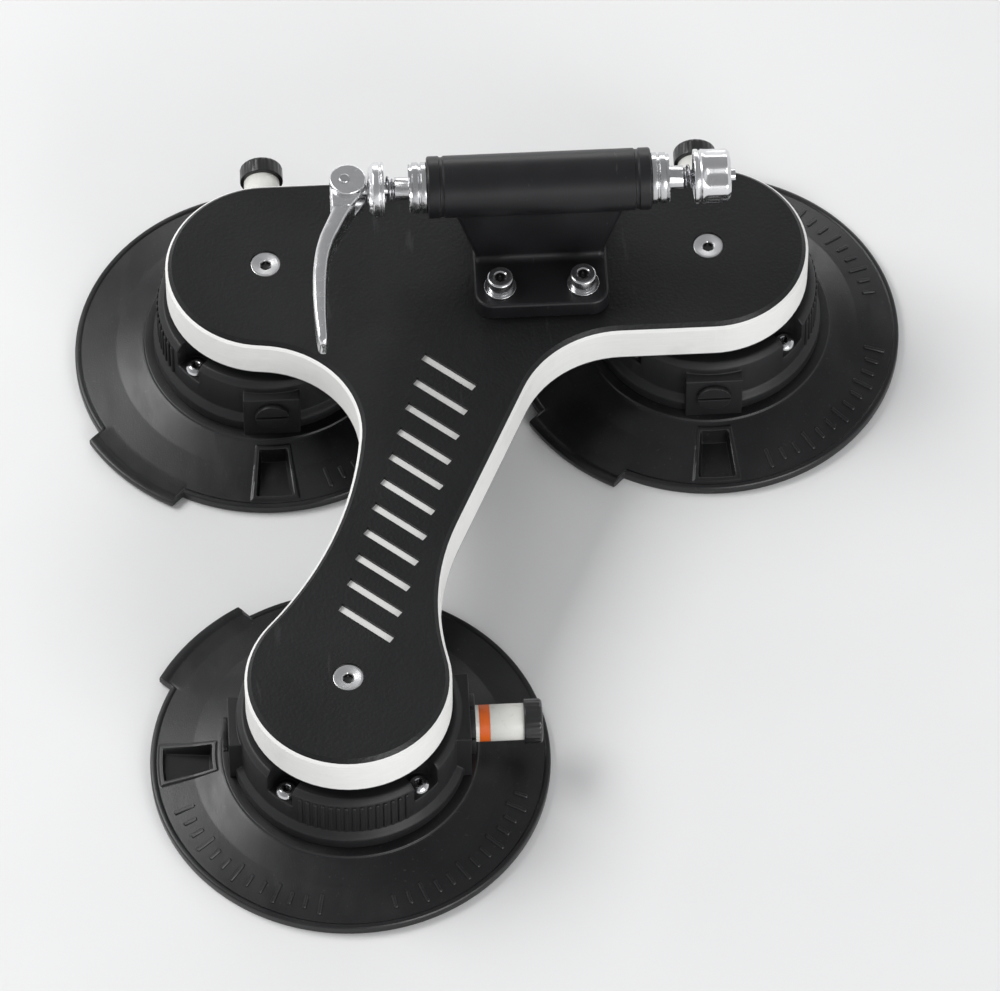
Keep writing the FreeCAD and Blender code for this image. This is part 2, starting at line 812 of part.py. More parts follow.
def polar(centre, radius, degrees):
    angle = math.radians(degrees)
    return centre + FreeCAD.Vector(radius * math.cos(angle), radius * math.sin(angle), 0)


def bearing(centre, point):
    return math.degrees(math.atan2(point.y - centre.y, point.x - centre.x))


def bent(centre, start, end, clockwise):
    """An arc about a centre from one point to another."""
    radius = (start - centre).Length
    first = bearing(centre, start)
    last = bearing(centre, end)
    if clockwise and last > first:
        last -= 360
    if not clockwise and last < first:
        last += 360
    middle = polar(centre, radius, (first + last) / 2)
    return Part.Arc(start, middle, end).toShape()


def board_outline():
    lobe = size("lobe_radius")
    left = FreeCAD.Vector(-size("cup_half_spacing"), size("front_y"), 0)
    right = FreeCAD.Vector(size("cup_half_spacing"), size("front_y"), 0)
    rear = FreeCAD.Vector(-size("rear_cup_offset"), size("rear_y"), 0)

    left_fillet = size("left_fillet_radius")
    left_hollow = polar(left, lobe + left_fillet, -90 - size("left_fillet_turn"))
    left_stem = size("left_stem_radius")
    left_flank = meeting_point(left_hollow, left_stem - left_fillet, rear, left_stem + lobe, -1)
    lobe_to_fillet = polar(left, lobe, bearing(left, left_hollow))
    fillet_to_flank = polar(left_flank, left_stem, bearing(left_flank, left_hollow))
    flank_to_rear = polar(rear, lobe, bearing(rear, left_flank))

    right_stem = size("right_stem_radius")
    contact = size("right_stem_contact")
    right_flank = polar(rear, lobe + right_stem, contact)
    rear_to_flank = polar(rear, lobe, contact)
    heading = size("right_stem_heading")
    flank_to_side = polar(right_flank, right_stem, heading + 90)
    along = FreeCAD.Vector(math.cos(math.radians(heading)), math.sin(math.radians(heading)), 0)
    inward = FreeCAD.Vector(along.y, -along.x, 0)
    right_fillet = size("right_fillet_radius")
    bar_edge = right.y - lobe
    corner = flank_to_side + inward * right_fillet
    run = (bar_edge - right_fillet - corner.y) / along.y
    right_hollow = corner + along * run
    side_to_fillet = flank_to_side + along * run
    fillet_to_bar = right_hollow + FreeCAD.Vector(0, right_fillet, 0)
    bar_to_lobe = right - FreeCAD.Vector(0, lobe, 0)
    lobe_top = FreeCAD.Vector(0, lobe, 0)

    edges = [
        bent(left, left + lobe_top, lobe_to_fillet, False),
        bent(left_hollow, lobe_to_fillet, fillet_to_flank, True),
        bent(left_flank, fillet_to_flank, flank_to_rear, True),
        bent(rear, flank_to_rear, rear_to_flank, False),
        bent(right_flank, rear_to_flank, flank_to_side, True),
        Part.LineSegment(flank_to_side, side_to_fillet).toShape(),
        bent(right_hollow, side_to_fillet, fillet_to_bar, True),
        Part.LineSegment(fillet_to_bar, bar_to_lobe).toShape(),
        bent(right, bar_to_lobe, right + lobe_top, False),
        Part.LineSegment(right + lobe_top, left + lobe_top).toShape(),
    ]
    outline = document.addObject("Part::Feature", "board_outline")
    outline.Shape = Part.Wire(edges)
    return outline


SAME_HEIGHT = 0.001


def bevelled(name, base, height, bevel):
    """Bevel the edges of a plate that lie at one height."""
    document.recompute()
    chosen = []
    for index, edge in enumerate(base.Shape.Edges, start=1):
        lowest, highest = edge.BoundBox.ZMin, edge.BoundBox.ZMax
        if max(abs(lowest - height), abs(highest - height)) < SAME_HEIGHT:
            chosen.append((index, bevel, bevel))
    worked = document.addObject("Part::Chamfer", name)
    worked.Base = base
    worked.Edges = chosen
    return worked


def board():
    """Co-extruded sheet: thin black skins on a white core, bored for its bolts."""
    outline = board_outline()
    sheet = document.addObject("Part::Extrusion", "board_sheet")
    sheet.Base = outline
    sheet.DirMode = "Custom"
    sheet.Dir = FreeCAD.Vector(0, 0, 1)
    sheet.Solid = True
    sheet.setExpression("LengthFwd", bound("board_thickness"))
    sheet.setExpression("Placement.Base.z", bound("board_bottom"))
    top_worked = bevelled("board_top_bevelled", sheet, size("board_top"), size("board_top_bevel"))
    worked = bevelled("board_bevelled", top_worked, size("board_bottom"),
                      size("board_bottom_bevel"))
    layers = (
        ("board_bottom_skin", "board_bottom", "board_skin"),
        ("board_core", "board_bottom + board_skin", "board_thickness - 2 * board_skin"),
        ("board_top_skin", "board_top - board_skin", "board_skin"),
    )
    reach = "2 * (cup_half_spacing + cup_row_distance)"
    for label, z, thickness in layers:
        slab = box(label + "_slab", reach, reach, thickness, "-(%s) / 2" % reach,
                   "-(%s) / 2" % reach, z)
        layer = common(label + "_layer", worked, slab)
        openings = board_holes(label)
        if label == "board_top_skin":
            openings += stripes(label)
        finish(cut(label, layer, *openings), label)


def board_holes(label):
    """Countersunk holes over the hubs and stepped holes under the fork mount."""
    holes = []
    clear = "board_bolt_radius + screw_clearance"
    head_clear = "board_bolt_head_radius + screw_clearance"
    for cup, (x, y, angle) in CUPS.items():
        name = "%s_%s" % (label, cup)
        holes.append(cylinder(name + "_bolt_hole", clear, "board_thickness", x, y,
                              "board_bottom"))
        holes.append(cone(name + "_countersink", clear, head_clear,
                          "board_bolt_head_radius - board_bolt_radius", x, y,
                          "board_top - board_bolt_head_sink - board_bolt_head_radius"
                          " + board_bolt_radius"))
        holes.append(cylinder(name + "_head_room", head_clear, "2 * board_bolt_head_sink", x, y,
                              "board_top - board_bolt_head_sink"))
    for index, (x, y) in enumerate(mount_bolt_places()):
        name = "%s_mount_%d" % (label, index)
        holes.append(cylinder(name + "_bolt_hole", "mount_nut_radius + seat_clearance",
                              "board_thickness", x, y, "board_bottom"))
        holes.append(cylinder(name + "_nut_step", "mount_nut_flange_radius + seat_clearance",
                              "mount_nut_flange_thickness", x, y, "board_bottom"))
    return holes


def stem_line():
    """Direction of the stem, from the rear bolt towards the bar, in degrees."""
    return "atan2(cup_row_distance; rear_cup_offset)"


def stripes(label):
    """Slanted bars cut through the skin along the stem, so that the core shows."""
    tilt = math.degrees(math.atan2(size("cup_row_distance"), size("rear_cup_offset")))
    direction = "(%s - stripe_slant * 1 deg)" % stem_line()
    turn = FreeCAD.Rotation(FreeCAD.Vector(0, 0, 1), tilt - size("stripe_slant"))
    bars = []
    for index in range(round(size("stripe_count"))):
        run = "(stripe_first + %d * stripe_pitch)" % index
        back_x = "(stripe_width / 2 * cos(%s) - stripe_length / 2 * sin(%s))"
        back_y = "(stripe_width / 2 * sin(%s) + stripe_length / 2 * cos(%s))"
        x = "-rear_cup_offset + %s * cos(%s) - %s" % (
            run, stem_line(), back_x % (direction, direction))
        y = "rear_y + %s * sin(%s) - %s" % (run, stem_line(), back_y % (direction, direction))
        bars.append(box("%s_stripe_%d" % (label, index), "stripe_width", "stripe_length",
                        "2 * board_skin", x, y, "board_top - board_skin", turn))
    return bars


def mount_bolt_places():
    """The four bolts of the fork mount."""
    places = []
    for x_side in ("-", "+"):
        for y_side in ("-", "+"):
            places.append(("mount_offset %s mount_bolt_spacing_x / 2" % x_side,
                           "front_y %s mount_bolt_spacing_y / 2" % y_side))
    return places


def hex_socket(name, x, y, top):
    socket = document.addObject("Part::Prism", name)
    socket.Polygon = 6
    socket.setExpression("Circumradius", bound("socket_across_corners / 2"))
    socket.setExpression("Height", bound("2 * socket_depth"))
    return seat(socket, x, y, "%s - socket_depth" % top)


def board_bolts():
    """Countersunk bolts from the board's top down into the inserts."""
    bolts = []
    top = "board_top - board_bolt_head_sink"
    for cup, (x, y, angle) in CUPS.items():
        name = "board_bolt_" + cup
        shank = cylinder(name + "_shank", "board_bolt_radius",
                         "board_thickness + board_bolt_reach - board_bolt_head_sink", x, y,
                         "board_bottom - board_bolt_reach")
        head = cone(name + "_head", "board_bolt_radius", "board_bolt_head_radius",
                    "board_bolt_head_radius - board_bolt_radius", x, y,
                    "%s - board_bolt_head_radius + board_bolt_radius" % top)
        body = fuse(name + "_body", shank, head)
        bolts.append(cut(name, body, hex_socket(name + "_socket", x, y, "(%s)" % top)))
    finish(group("board_bolts", *bolts), "board_bolts")


def fork_block():
    """Black machined block: foot, tapered web and the barrel for the axle."""
    foot = box("block_foot", "2 * base_half_x", "2 * base_half_y", "base_thickness",
               "mount_offset - base_half_x", "front_y - base_half_y", "board_top")
    document.recompute()
    upright = []
    for index, edge in enumerate(foot.Shape.Edges, start=1):
        if edge.BoundBox.ZLength > size("base_thickness") / 2:
            upright.append((index, size("base_corner_radius"), size("base_corner_radius")))
    rounded = document.addObject("Part::Fillet", "block_rounded_foot")
    rounded.Base = foot
    rounded.Edges = upright
    web_body = document.addObject("PartDesign::Body", "block_web_body")
    web_outline = outline_sketch(web_body, "block_web_outline", "XZ_Plane", [
        ("-web_foot_half", "0"),
        ("web_foot_half", "0"),
        ("web_head_half", "axle_height"),
        ("-web_head_half", "axle_height"),
    ])
    web = web_body.newObject("PartDesign::Pad", "block_web")
    web.Profile = web_outline
    web.Midplane = True
    web.setExpression("Length", bound("web_thickness"))
    seat(web_body, "mount_offset", "front_y", "board_top")
    barrel = cylinder("block_barrel", "barrel_radius", "2 * barrel_half_length",
                      "mount_offset - barrel_half_length", "front_y", "axle_z", "+X")
    whole = fuse("block_whole", rounded, web_body, barrel)
    bore = cylinder("block_bore", "axle_radius + thread_clearance", "2 * barrel_half_length",
                    "mount_offset - barrel_half_length", "front_y", "axle_z", "+X")
    holes = []
    for index, (x, y) in enumerate(mount_bolt_places()):
        holes.append(cylinder("block_hole_%d" % index, "mount_bolt_radius + screw_clearance",
                              "base_thickness", x, y, "board_top"))
    finish(cut("fork_block", whole, bore, *holes), "fork_block")


def mount_fasteners():
    """Cap screws, washers and flanged barrel nuts of the fork mount."""
    screws = []
    washers = []
    nuts = []
    washer_top = "board_top + base_thickness + mount_washer_thickness"
    nut_top = "board_bottom + mount_nut_depth"
    for index, (x, y) in enumerate(mount_bolt_places()):
        name = "mount_screw_%d" % index
        shank = cylinder(name + "_shank", "mount_bolt_radius",
                         "board_thickness + base_thickness + mount_washer_thickness", x, y,
                         "board_bottom")
        head = cylinder(name + "_head", "mount_bolt_head_radius", "mount_bolt_head_height", x, y,
                        washer_top)
        body = fuse(name + "_body", shank, head)
        top = "(%s + mount_bolt_head_height)" % washer_top
        screws.append(cut(name, body, hex_socket(name + "_socket", x, y, top)))
        name = "mount_washer_%d" % index
        disc = cylinder(name + "_disc", "mount_washer_radius", "mount_washer_thickness", x, y,
                        "board_top + base_thickness")
        hole = cylinder(name + "_hole", "mount_bolt_radius + screw_clearance",
                        "mount_washer_thickness", x, y, "board_top + base_thickness")
        washers.append(cut(name, disc, hole))
        name = "mount_nut_%d" % index
        sleeve = cylinder(name + "_sleeve", "mount_nut_radius", "mount_nut_depth", x, y,
                          "board_bottom")
        flange = cylinder(name + "_flange", "mount_nut_flange_radius",
                          "mount_nut_flange_thickness", x, y, "board_bottom")
        thread = cylinder(name + "_thread", "mount_bolt_radius + thread_clearance",
                          "%s - board_bottom" % nut_top, x, y, "board_bottom")
        nuts.append(cut(name, fuse(name + "_body", sleeve, flange), thread))
    finish(group("mount_screws", *screws), "mount_screws")
    finish(group("mount_washers", *washers), "mount_washers")
    finish(group("mount_nuts", *nuts), "mount_nuts")


def on_axle(thing, label):
    """Carry a piece that was turned about X up to the fork axle."""
    return finish(seat(thing, "mount_offset", "front_y", "axle_z"), label)


def axle():
    """Hollow steel axle: threaded under the face nuts, with bare ends outside them."""
    tube = laid("hollow_axle", [
        ("-axle_end", "axle_bore_radius"),
        ("-axle_end", "axle_end_radius"),
        ("-fork_half", "axle_end_radius"),
        ("-fork_half", "axle_thread_radius"),
        ("-barrel_half_length", "axle_thread_radius"),
        ("-barrel_half_length", "axle_radius"),
        ("barrel_half_length", "axle_radius"),
        ("barrel_half_length", "axle_thread_radius"),
        ("fork_half", "axle_thread_radius"),
        ("fork_half", "axle_end_radius"),
        ("axle_end", "axle_end_radius"),
        ("axle_end", "axle_bore_radius"),
    ])
    on_axle(tube, "hollow_axle")


def face_nut(side, start, end):
    """Nut on the axle whose outer face takes the clamping force."""
    ring = laid(side + "_face_nut", [
        (start, "axle_thread_radius + thread_clearance"),
        (start, "face_nut_radius"),
        (end, "face_nut_radius"),
        (end, "axle_thread_radius + thread_clearance"),
    ])
    on_axle(ring, side + "_face_nut")


def skewer_rod():
    """Long rod through the axle, with a flat eye for the cam pin at the lever end."""
    rod = cylinder("skewer_rod_shaft", "rod_radius", "cam_pin_x + nut_end + rod_tail",
                   "-cam_pin_x", along="+X")
    eye = cylinder("skewer_rod_eye", "eye_radius", "eye_thickness", "-cam_pin_x",
                   z="-eye_thickness / 2")
    pin_hole = cylinder("skewer_rod_pin_hole", "cam_pin_radius + thread_clearance",
                        "2 * eye_thickness", "-cam_pin_x", z="-eye_thickness")
    on_axle(cut("skewer_rod", fuse("skewer_rod_whole", rod, eye), pin_hole), "skewer_rod")


def cam_pin():
    pin = cylinder("cam_pin", "cam_pin_radius", "cam_height + 2 * cam_pin_overhang",
                   "-cam_pin_x", z="-cam_height / 2 - cam_pin_overhang")
    finish(seat(pin, "mount_offset - cam_pin_x", "front_y",
                "axle_z - cam_height / 2 - cam_pin_overhang"), "cam_pin")


def clamp_cup():
    """Cup that the lever's cam presses along the rod, recessed for its spring."""
    cup = laid("clamp_cup", [
        ("-cup_back", "rod_radius + running_clearance"),
        ("-cup_back", "cup_radius - cup_bevel"),
        ("-cup_back + cup_bevel", "cup_radius"),
        ("-cup_face", "cup_radius"),
        ("-cup_face", "cup_recess_radius"),
        ("-cup_face - cup_recess_depth", "cup_recess_radius"),
        ("-cup_face - cup_recess_depth", "rod_radius + running_clearance"),
    ])
    on_axle(cup, "clamp_cup")


def adjusting_nut():
    """Grip nut at the far end of the rod, with finger scallops round it."""
    barrel = laid("adjusting_nut_barrel", [
        ("cup_face", "cup_recess_radius"),
        ("cup_face", "nut_grip_radius"),
        ("nut_end - cup_bevel", "nut_grip_radius"),
        ("nut_end", "nut_grip_radius - cup_bevel"),
        ("nut_end", "rod_radius + running_clearance"),
        ("cup_face + nut_recess_depth", "rod_radius + running_clearance"),
        ("cup_face + nut_recess_depth", "cup_recess_radius"),
    ])
    scallops = []
    count = round(size("nut_grip_count"))
    for index in range(count):
        angle = "%d * 360 / %d" % (index, count)
        y, z = on_circle("(nut_grip_radius + nut_grip_cut - nut_grip_bite)", angle)
        scallops.append(cylinder("adjusting_nut_scallop_%d" % index, "nut_grip_cut",
                                 "nut_length", "cup_face + nut_recess_depth + nut_plain_band",
                                 y, z, "+X"))
    on_axle(cut("adjusting_nut", barrel, *scallops), "adjusting_nut")


def cam_lever():
    """Lever with its round cam off the pin's centre and a bowed arm along -Y."""
    cam = cylinder("lever_cam", "cam_radius", "cam_height", "-cam_pin_x + cam_offset",
                   z="-cam_height / 2")
    arm_body = document.addObject("PartDesign::Body", "lever_arm_body")
    outline = outline_sketch(arm_body, "lever_arm_outline", "XY_Plane", [
        ("-cam_radius", "0"),
        ("-cam_radius", "-cup_radius - lever_root_clearance"),
        ("-cam_radius - lever_bow * 0.6", "-lever_length / 3"),
        ("-cam_radius - lever_bow", "-2 * lever_length / 3"),
        ("-cam_radius - lever_bow * 0.9", "-lever_length"),
        ("-cam_radius - lever_bow * 0.9 + lever_thickness * 0.7", "-lever_length"),
        ("-cam_radius - lever_bow + lever_thickness", "-2 * lever_length / 3"),
        ("-cam_radius - lever_bow * 0.6 + lever_thickness", "-lever_length / 3"),
        ("cam_radius / 2", "-cam_radius / 2"),
    ])
    arm = arm_body.newObject("PartDesign::Pad", "lever_arm")
    arm.Profile = outline
    arm.Midplane = True
    arm.setExpression("Length", bound("lever_width"))
    seat(arm_body, "-cam_pin_x + cam_offset", "0", "0")
    whole = fuse("lever_whole", cam, arm_body)
    slot = box("lever_slot", "4 * cam_radius", "2 * cam_radius + 2 * cam_offset",
               "cam_slot_width", "-cam_pin_x - 2 * cam_radius", "-cam_radius - cam_offset",
               "-cam_slot_width / 2")
    pin_hole = cylinder("lever_pin_hole", "cam_pin_radius + running_clearance",
                        "2 * cam_height", "-cam_pin_x", z="-cam_height")
    on_axle(cut("cam_lever", whole, slot, pin_hole), "cam_lever")


def cone_springs():
    """Small conical springs that keep the cup and the nut off the axle ends."""
    wire = size("spring_wire")
    clearance = size("spring_end_clearance")
    start = size("axle_end") + clearance
    end = size("cup_face") + size("cup_recess_depth") - clearance
    for side, sign in (("left", -1), ("right", 1)):
        name = side + "_cone_spring"
        tube = wound_wire(name, size("spring_small_radius"), size("spring_large_radius"),
                          start, end, size("spring_turns"), wire, sign)
        on_axle(wire_part(name, tube), name)


board()
board_bolts()
fork_block()
mount_fasteners()
axle()
face_nut("left", "-fork_half", "-barrel_half_length")
face_nut("right", "barrel_half_length", "fork_half")
skewer_rod()
cam_pin()
clamp_cup()
adjusting_nut()
cam_lever()
cone_springs()
document.recompute()

broken = [thing.Name for thing in document.Objects
          if "Invalid" in thing.State or "Error" in thing.State]
if broken:
    raise RuntimeError("these objects failed: " + ", ".join(broken))
for node in NODES:
    shape = node.Shape
    if shape.isNull() or not shape.isValid() or not shape.Solids:
        raise RuntimeError("no sound solid in " + node.Label)
for node in NODES:
    node.Shape.exportStep("parts/%s.step" % node.Label)
footprint = Part.makeCompound([node.Shape for node in NODES]).BoundBox
print("%d nodes, %.1f x %.1f x %.1f mm" % (
    len(NODES), footprint.XLength, footprint.YLength, footprint.ZLength))
print("footprint middle %.3f, %.3f, lowest %.3f" % (
    footprint.Center.x, footprint.Center.y, footprint.ZMin))
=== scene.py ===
# %% [markdown]
# # A suction cup rack
# Three vacuum pads hold a flat board down, and a quick release on top of the board clamps the
# load. The solids come ready made from the frame. This lesson gives them their looks: moulded
# rubber, grained plastic, a black and white routed board and turned metal.

# %% Load the frame
import json
import math

import bmesh
import bpy
from mathutils import Matrix, Vector


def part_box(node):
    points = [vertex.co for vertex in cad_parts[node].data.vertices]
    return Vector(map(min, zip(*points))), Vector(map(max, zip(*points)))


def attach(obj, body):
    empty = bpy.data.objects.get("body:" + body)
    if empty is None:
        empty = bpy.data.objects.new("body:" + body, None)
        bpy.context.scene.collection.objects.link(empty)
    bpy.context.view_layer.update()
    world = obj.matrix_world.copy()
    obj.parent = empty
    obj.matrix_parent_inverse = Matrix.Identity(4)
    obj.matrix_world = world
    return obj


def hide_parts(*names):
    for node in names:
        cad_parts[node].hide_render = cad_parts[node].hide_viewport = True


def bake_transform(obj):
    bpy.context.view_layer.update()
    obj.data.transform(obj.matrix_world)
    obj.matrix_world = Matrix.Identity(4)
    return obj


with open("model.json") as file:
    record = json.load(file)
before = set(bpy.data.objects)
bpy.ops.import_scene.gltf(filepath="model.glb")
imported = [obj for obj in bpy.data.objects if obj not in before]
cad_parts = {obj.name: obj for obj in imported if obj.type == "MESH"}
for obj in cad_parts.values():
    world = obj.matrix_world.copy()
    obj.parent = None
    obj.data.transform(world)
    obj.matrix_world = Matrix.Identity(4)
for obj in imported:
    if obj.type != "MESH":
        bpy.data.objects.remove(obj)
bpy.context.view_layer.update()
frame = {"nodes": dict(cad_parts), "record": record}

MM = 0.001

# %% [markdown]
# ## Where things are
# Seats, axes and outer sizes are read off the frame's own boxes, so a piece always lands on its
# seat. Only small relief, such as a groove or a rib, has sizes of its own. Each vacuum mount is
# drawn once, in a frame of its own whose X axis is the pump, and then turned.

# %% Places on the frame
PUMP_BEARING = {"left": 90, "right": 90, "rear": 0}
X, Y, Z = range(3)


def low(node):
    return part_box(node)[0]


def high(node):
    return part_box(node)[1]


def middle(node):
    return (low(node) + high(node)) / 2


def extent(node, axis):
    """How long a node is along one axis, in millimetres."""
    return (high(node)[axis] - low(node)[axis]) / MM


def mount_frame(cup):
    """The frame of one vacuum mount: on the ground, X along its pump."""
    seat = middle(cup + "_hub_lid")
    turn = Matrix.Rotation(math.radians(PUMP_BEARING[cup]), 4, "Z")
    return Matrix.Translation((seat.x, seat.y, 0)) @ turn


pump_height = middle("rear_plunger").z
axle = middle("hollow_axle")
print("pump axis at", round(pump_height / MM, 1), "mm, axle at", round(axle.z / MM, 1), "mm")

# %% [markdown]
# ## Shader sums in plain Python
# A finish is a small sum: a base colour, more grain here, less polish there. Writing that with
# nodes takes a line for each plus sign. This class wraps a socket so that a plus sign is enough,
# and every other node comes from one method that sets it up in one line.

# %% A socket that can be added and multiplied
class Wire:
    """What comes out of a node, ready to be used in a sum."""

    def __init__(self, nodes, socket):
        self.nodes = nodes
        self.socket = socket

    def reckon(self, operation, first, second):
        return self.nodes.node("ShaderNodeMath", {"operation": operation}, {0: first, 1: second})

    def __add__(self, other):
        return self.reckon("ADD", self, other)

    def __radd__(self, other):
        return self.reckon("ADD", other, self)

    def __sub__(self, other):
        return self.reckon("SUBTRACT", self, other)

    def __rsub__(self, other):
        return self.reckon("SUBTRACT", other, self)

    def __mul__(self, other):
        return self.reckon("MULTIPLY", self, other)

    def __rmul__(self, other):
        return self.reckon("MULTIPLY", other, self)

    def clip(self, start, end):
        """0 below start, 1 above end."""
        limits = {"From Min": start, "From Max": end}
        return self.nodes.node("ShaderNodeMapRange", {"clamp": True}, {"Value": self, **limits})


# %% A node tree that is filled through one method
class Nodes:
    def __init__(self, tree):
        self.tree = tree

    def plug(self, socket, value):
        """A link where the value is a wire, and otherwise a constant."""
        if isinstance(value, Wire):
            self.tree.links.new(value.socket, socket)
        else:
            socket.default_value = value

    def node(self, kind, settings=None, sockets=None, out=0):
        """A node of a kind, with its settings made first and its sockets filled next."""
        node = self.tree.nodes.new(kind)
        for name, value in (settings or {}).items():
            setattr(node, name, value)
        for name, value in (sockets or {}).items():
            self.plug(node.inputs[name], value)
        return Wire(self, node.outputs[out])


# %% A finish: one material and the ways to vary it
class Finish(Nodes):
    """A material built on one shader. Sizes of grain are in millimetres."""

    def __init__(self, name, **fixed):
        self.material = bpy.data.materials.new(name)
        self.material.use_nodes = True
        super().__init__(self.material.node_tree)
        self.tree.nodes.clear()
        self.shader = self.tree.nodes.new("ShaderNodeBsdfPrincipled")
        output = self.tree.nodes.new("ShaderNodeOutputMaterial")
        self.tree.links.new(self.shader.outputs[0], output.inputs[0])
        self.put(**fixed)
        self.place = self.node("ShaderNodeTexCoord", out="Object")

    def put(self, **values):
        """Constants and wires onto the shader's own sockets, a _ for each space in a name."""
        for name, value in values.items():
            self.plug(self.shader.inputs[name.replace("_", " ")], value)

    def vector(self, operation, first, second=(0, 0, 0), out=0):
        return self.node("ShaderNodeVectorMath", {"operation": operation},
                         {0: first, 1: second}, out)

    def grain(self, size, detail=2.0, stretch=(1, 1, 1), warp=0.0, at=None):
        """Cloudy noise whose blotches are about size millimetres, longer where stretch is low."""
        sockets = {"Vector": self.vector("MULTIPLY", at or self.place, stretch),
                   "Scale": 1 / (size * MM), "Detail": detail, "Distortion": warp}
        return self.node("ShaderNodeTexNoise", None, sockets)

    def cells(self, size, feature="F1"):
        """Distance to the nearest of many scattered points, for pebbled grain."""
        return self.node("ShaderNodeTexVoronoi", {"feature": feature},
                         {"Vector": self.place, "Scale": 1 / (size * MM)})

    def scratches(self, size, stretch, least=0.62):
        """A few thin long marks, fewer with a higher least."""
        return self.grain(size, detail=3, stretch=stretch, warp=0.4).clip(least, least + 0.06)

    def edges(self, width):
        """Near 1 on outer edges, for edge wear and for the pads' painted highlight; 0 on open
        faces.
        """
        rounded_normal = self.node("ShaderNodeBevel", {"samples": 8}, {"Radius": width * MM})
        true_normal = self.node("ShaderNodeNewGeometry", out="True Normal")
        facing = self.vector("DOT_PRODUCT", rounded_normal, true_normal, out="Value")
        return ((1 - facing) * 3.0).clip(0.08, 0.6)

    def from_axis(self, centres, along):
        """Distance from the nearest of the axes that run through the centres."""
        across = {"X": (0, 1, 1), "Y": (1, 0, 1), "Z": (1, 1, 0)}[along]
        nearest = None
        for centre in centres:
            offset = self.vector("MULTIPLY", self.vector("SUBTRACT", self.place, centre), across)
            away = self.vector("LENGTH", offset, out="Value")
            nearest = nearest.reckon("MINIMUM", nearest, away) if nearest else away
        return nearest

    def lathe(self, centres, along):
        """How far along the axis and how far from the nearest one: the way a lathe cuts."""
        run = self.node("ShaderNodeSeparateXYZ", None, {0: self.place}, out=along)
        return self.node("ShaderNodeCombineXYZ", None,
                         {0: run, 1: self.from_axis(centres, along)})

    def blend(self, share, first, second):
        """One colour going over to another."""
        return self.node("ShaderNodeMix", {"data_type": "RGBA"},
                         {"Factor": share, 6: first, 7: second}, out=2)

    def bump(self, height, depth):
        """Grain that the light can feel. depth is in millimetres."""
        return self.node("ShaderNodeBump", None,
                         {"Height": height, "Strength": 1.0, "Distance": depth * MM})


def colour(red, green, blue):
    return (red, green, blue, 1.0)


# %% [markdown]
# ## Rubber
# The pads are moulded natural rubber: nearly black, satin, with a grey bloom where dust settles
# and a very fine skin. The seals are softer and flatter. Both get a slow cloud for the bloom and a
# fine grain for the skin.

# %% Rubber finishes
def pad_rubber():
    rubber = Finish("pad rubber", IOR=1.5, Specular_IOR_Level=0.45)
    bloom = rubber.grain(34, detail=4, warp=0.6)
    dust = rubber.grain(1.3).clip(0.66, 0.76)
    wipe = rubber.grain(7, detail=3, stretch=(1, 0.35, 1)).clip(0.45, 0.75)
    skin = rubber.grain(0.55)
    rim_highlight_and_wear = rubber.edges(0.9)
    shade = rubber.blend(bloom.clip(0.35, 0.72), colour(0.006, 0.006, 0.007),
                         colour(0.014, 0.014, 0.015))
    shade = rubber.blend(dust * 0.22, shade, colour(0.10, 0.097, 0.093))
    # Painted highlight and wear: the rim bead and other outer edges are lightened to grey, standing
    # in for a catch-light along the lip.
    shade = rubber.blend(rim_highlight_and_wear * 0.5, shade, colour(0.13, 0.13, 0.13))
    rubber.put(Base_Color=shade,
               Roughness=0.26 + bloom * 0.12 + wipe * 0.10 - rim_highlight_and_wear * 0.08,
               Normal=rubber.bump(skin + bloom * 0.5, 0.04))
    return rubber.material


def seal_rubber():
    rubber = Finish("seal rubber", IOR=1.5)
    skin = rubber.grain(0.4, detail=3)
    shade = rubber.blend(skin, colour(0.012, 0.012, 0.012), colour(0.03, 0.03, 0.029))
    rubber.put(Base_Color=shade, Roughness=0.5 + skin * 0.2, Normal=rubber.bump(skin, 0.04))
    return rubber.material


FINISHES = {"pad_rubber": pad_rubber(), "seal_rubber": seal_rubber()}
print("rubbers", *FINISHES)

# %% [markdown]
# ## Plastics
# The hubs are glass-filled nylon with a spark-eroded grain, the buttons are polished, the plunger
# is white and slightly yellowed, and the band that warns of a leak is bright orange. The grain is
# a field of small cells, because spark erosion leaves craters and not clouds.

# %% Plastic finishes
def hub_plastic():
    nylon = Finish("hub nylon", IOR=1.49, Specular_IOR_Level=0.4)
    cloud = nylon.grain(18, detail=4)
    rub = nylon.edges(0.5)
    shade = nylon.blend(cloud, colour(0.007, 0.007, 0.008), colour(0.016, 0.016, 0.017))
    shade = nylon.blend(rub * 0.5, shade, colour(0.055, 0.055, 0.056))
    nylon.put(Base_Color=shade,
              Roughness=0.42 + cloud * 0.12 - rub * 0.10,
              Normal=nylon.bump(nylon.cells(0.42), 0.025))
    return nylon.material


def button_plastic():
    cap = Finish("button plastic", IOR=1.5, Coat_Roughness=0.12)
    cloud = cap.grain(6, detail=3)
    marks = cap.scratches(1.6, stretch=(1, 0.15, 1))
    shade = cap.blend(cloud, colour(0.009, 0.009, 0.010), colour(0.018, 0.018, 0.019))
    cap.put(Base_Color=shade,
            Roughness=0.26 + cloud * 0.1 + marks * 0.2,
            Coat_Weight=0.25 + cloud * 0.1,
            Normal=cap.bump(cap.grain(1.2), 0.012))
    return cap.material


def plunger_plastic():
    tube = Finish("plunger plastic", IOR=1.5)
    cloud = tube.grain(9, detail=4)
    drawn = tube.grain(0.5, stretch=(0.2, 0.2, 1))
    grime = tube.grain(2.2, detail=4).clip(0.6, 0.85)
    shade = tube.blend(cloud, colour(0.80, 0.80, 0.77), colour(0.71, 0.70, 0.65))
    shade = tube.blend(grime * 0.4, shade, colour(0.38, 0.36, 0.32))
    tube.put(Base_Color=shade, Roughness=0.3 + cloud * 0.1, Normal=tube.bump(drawn, 0.015))
    return tube.material


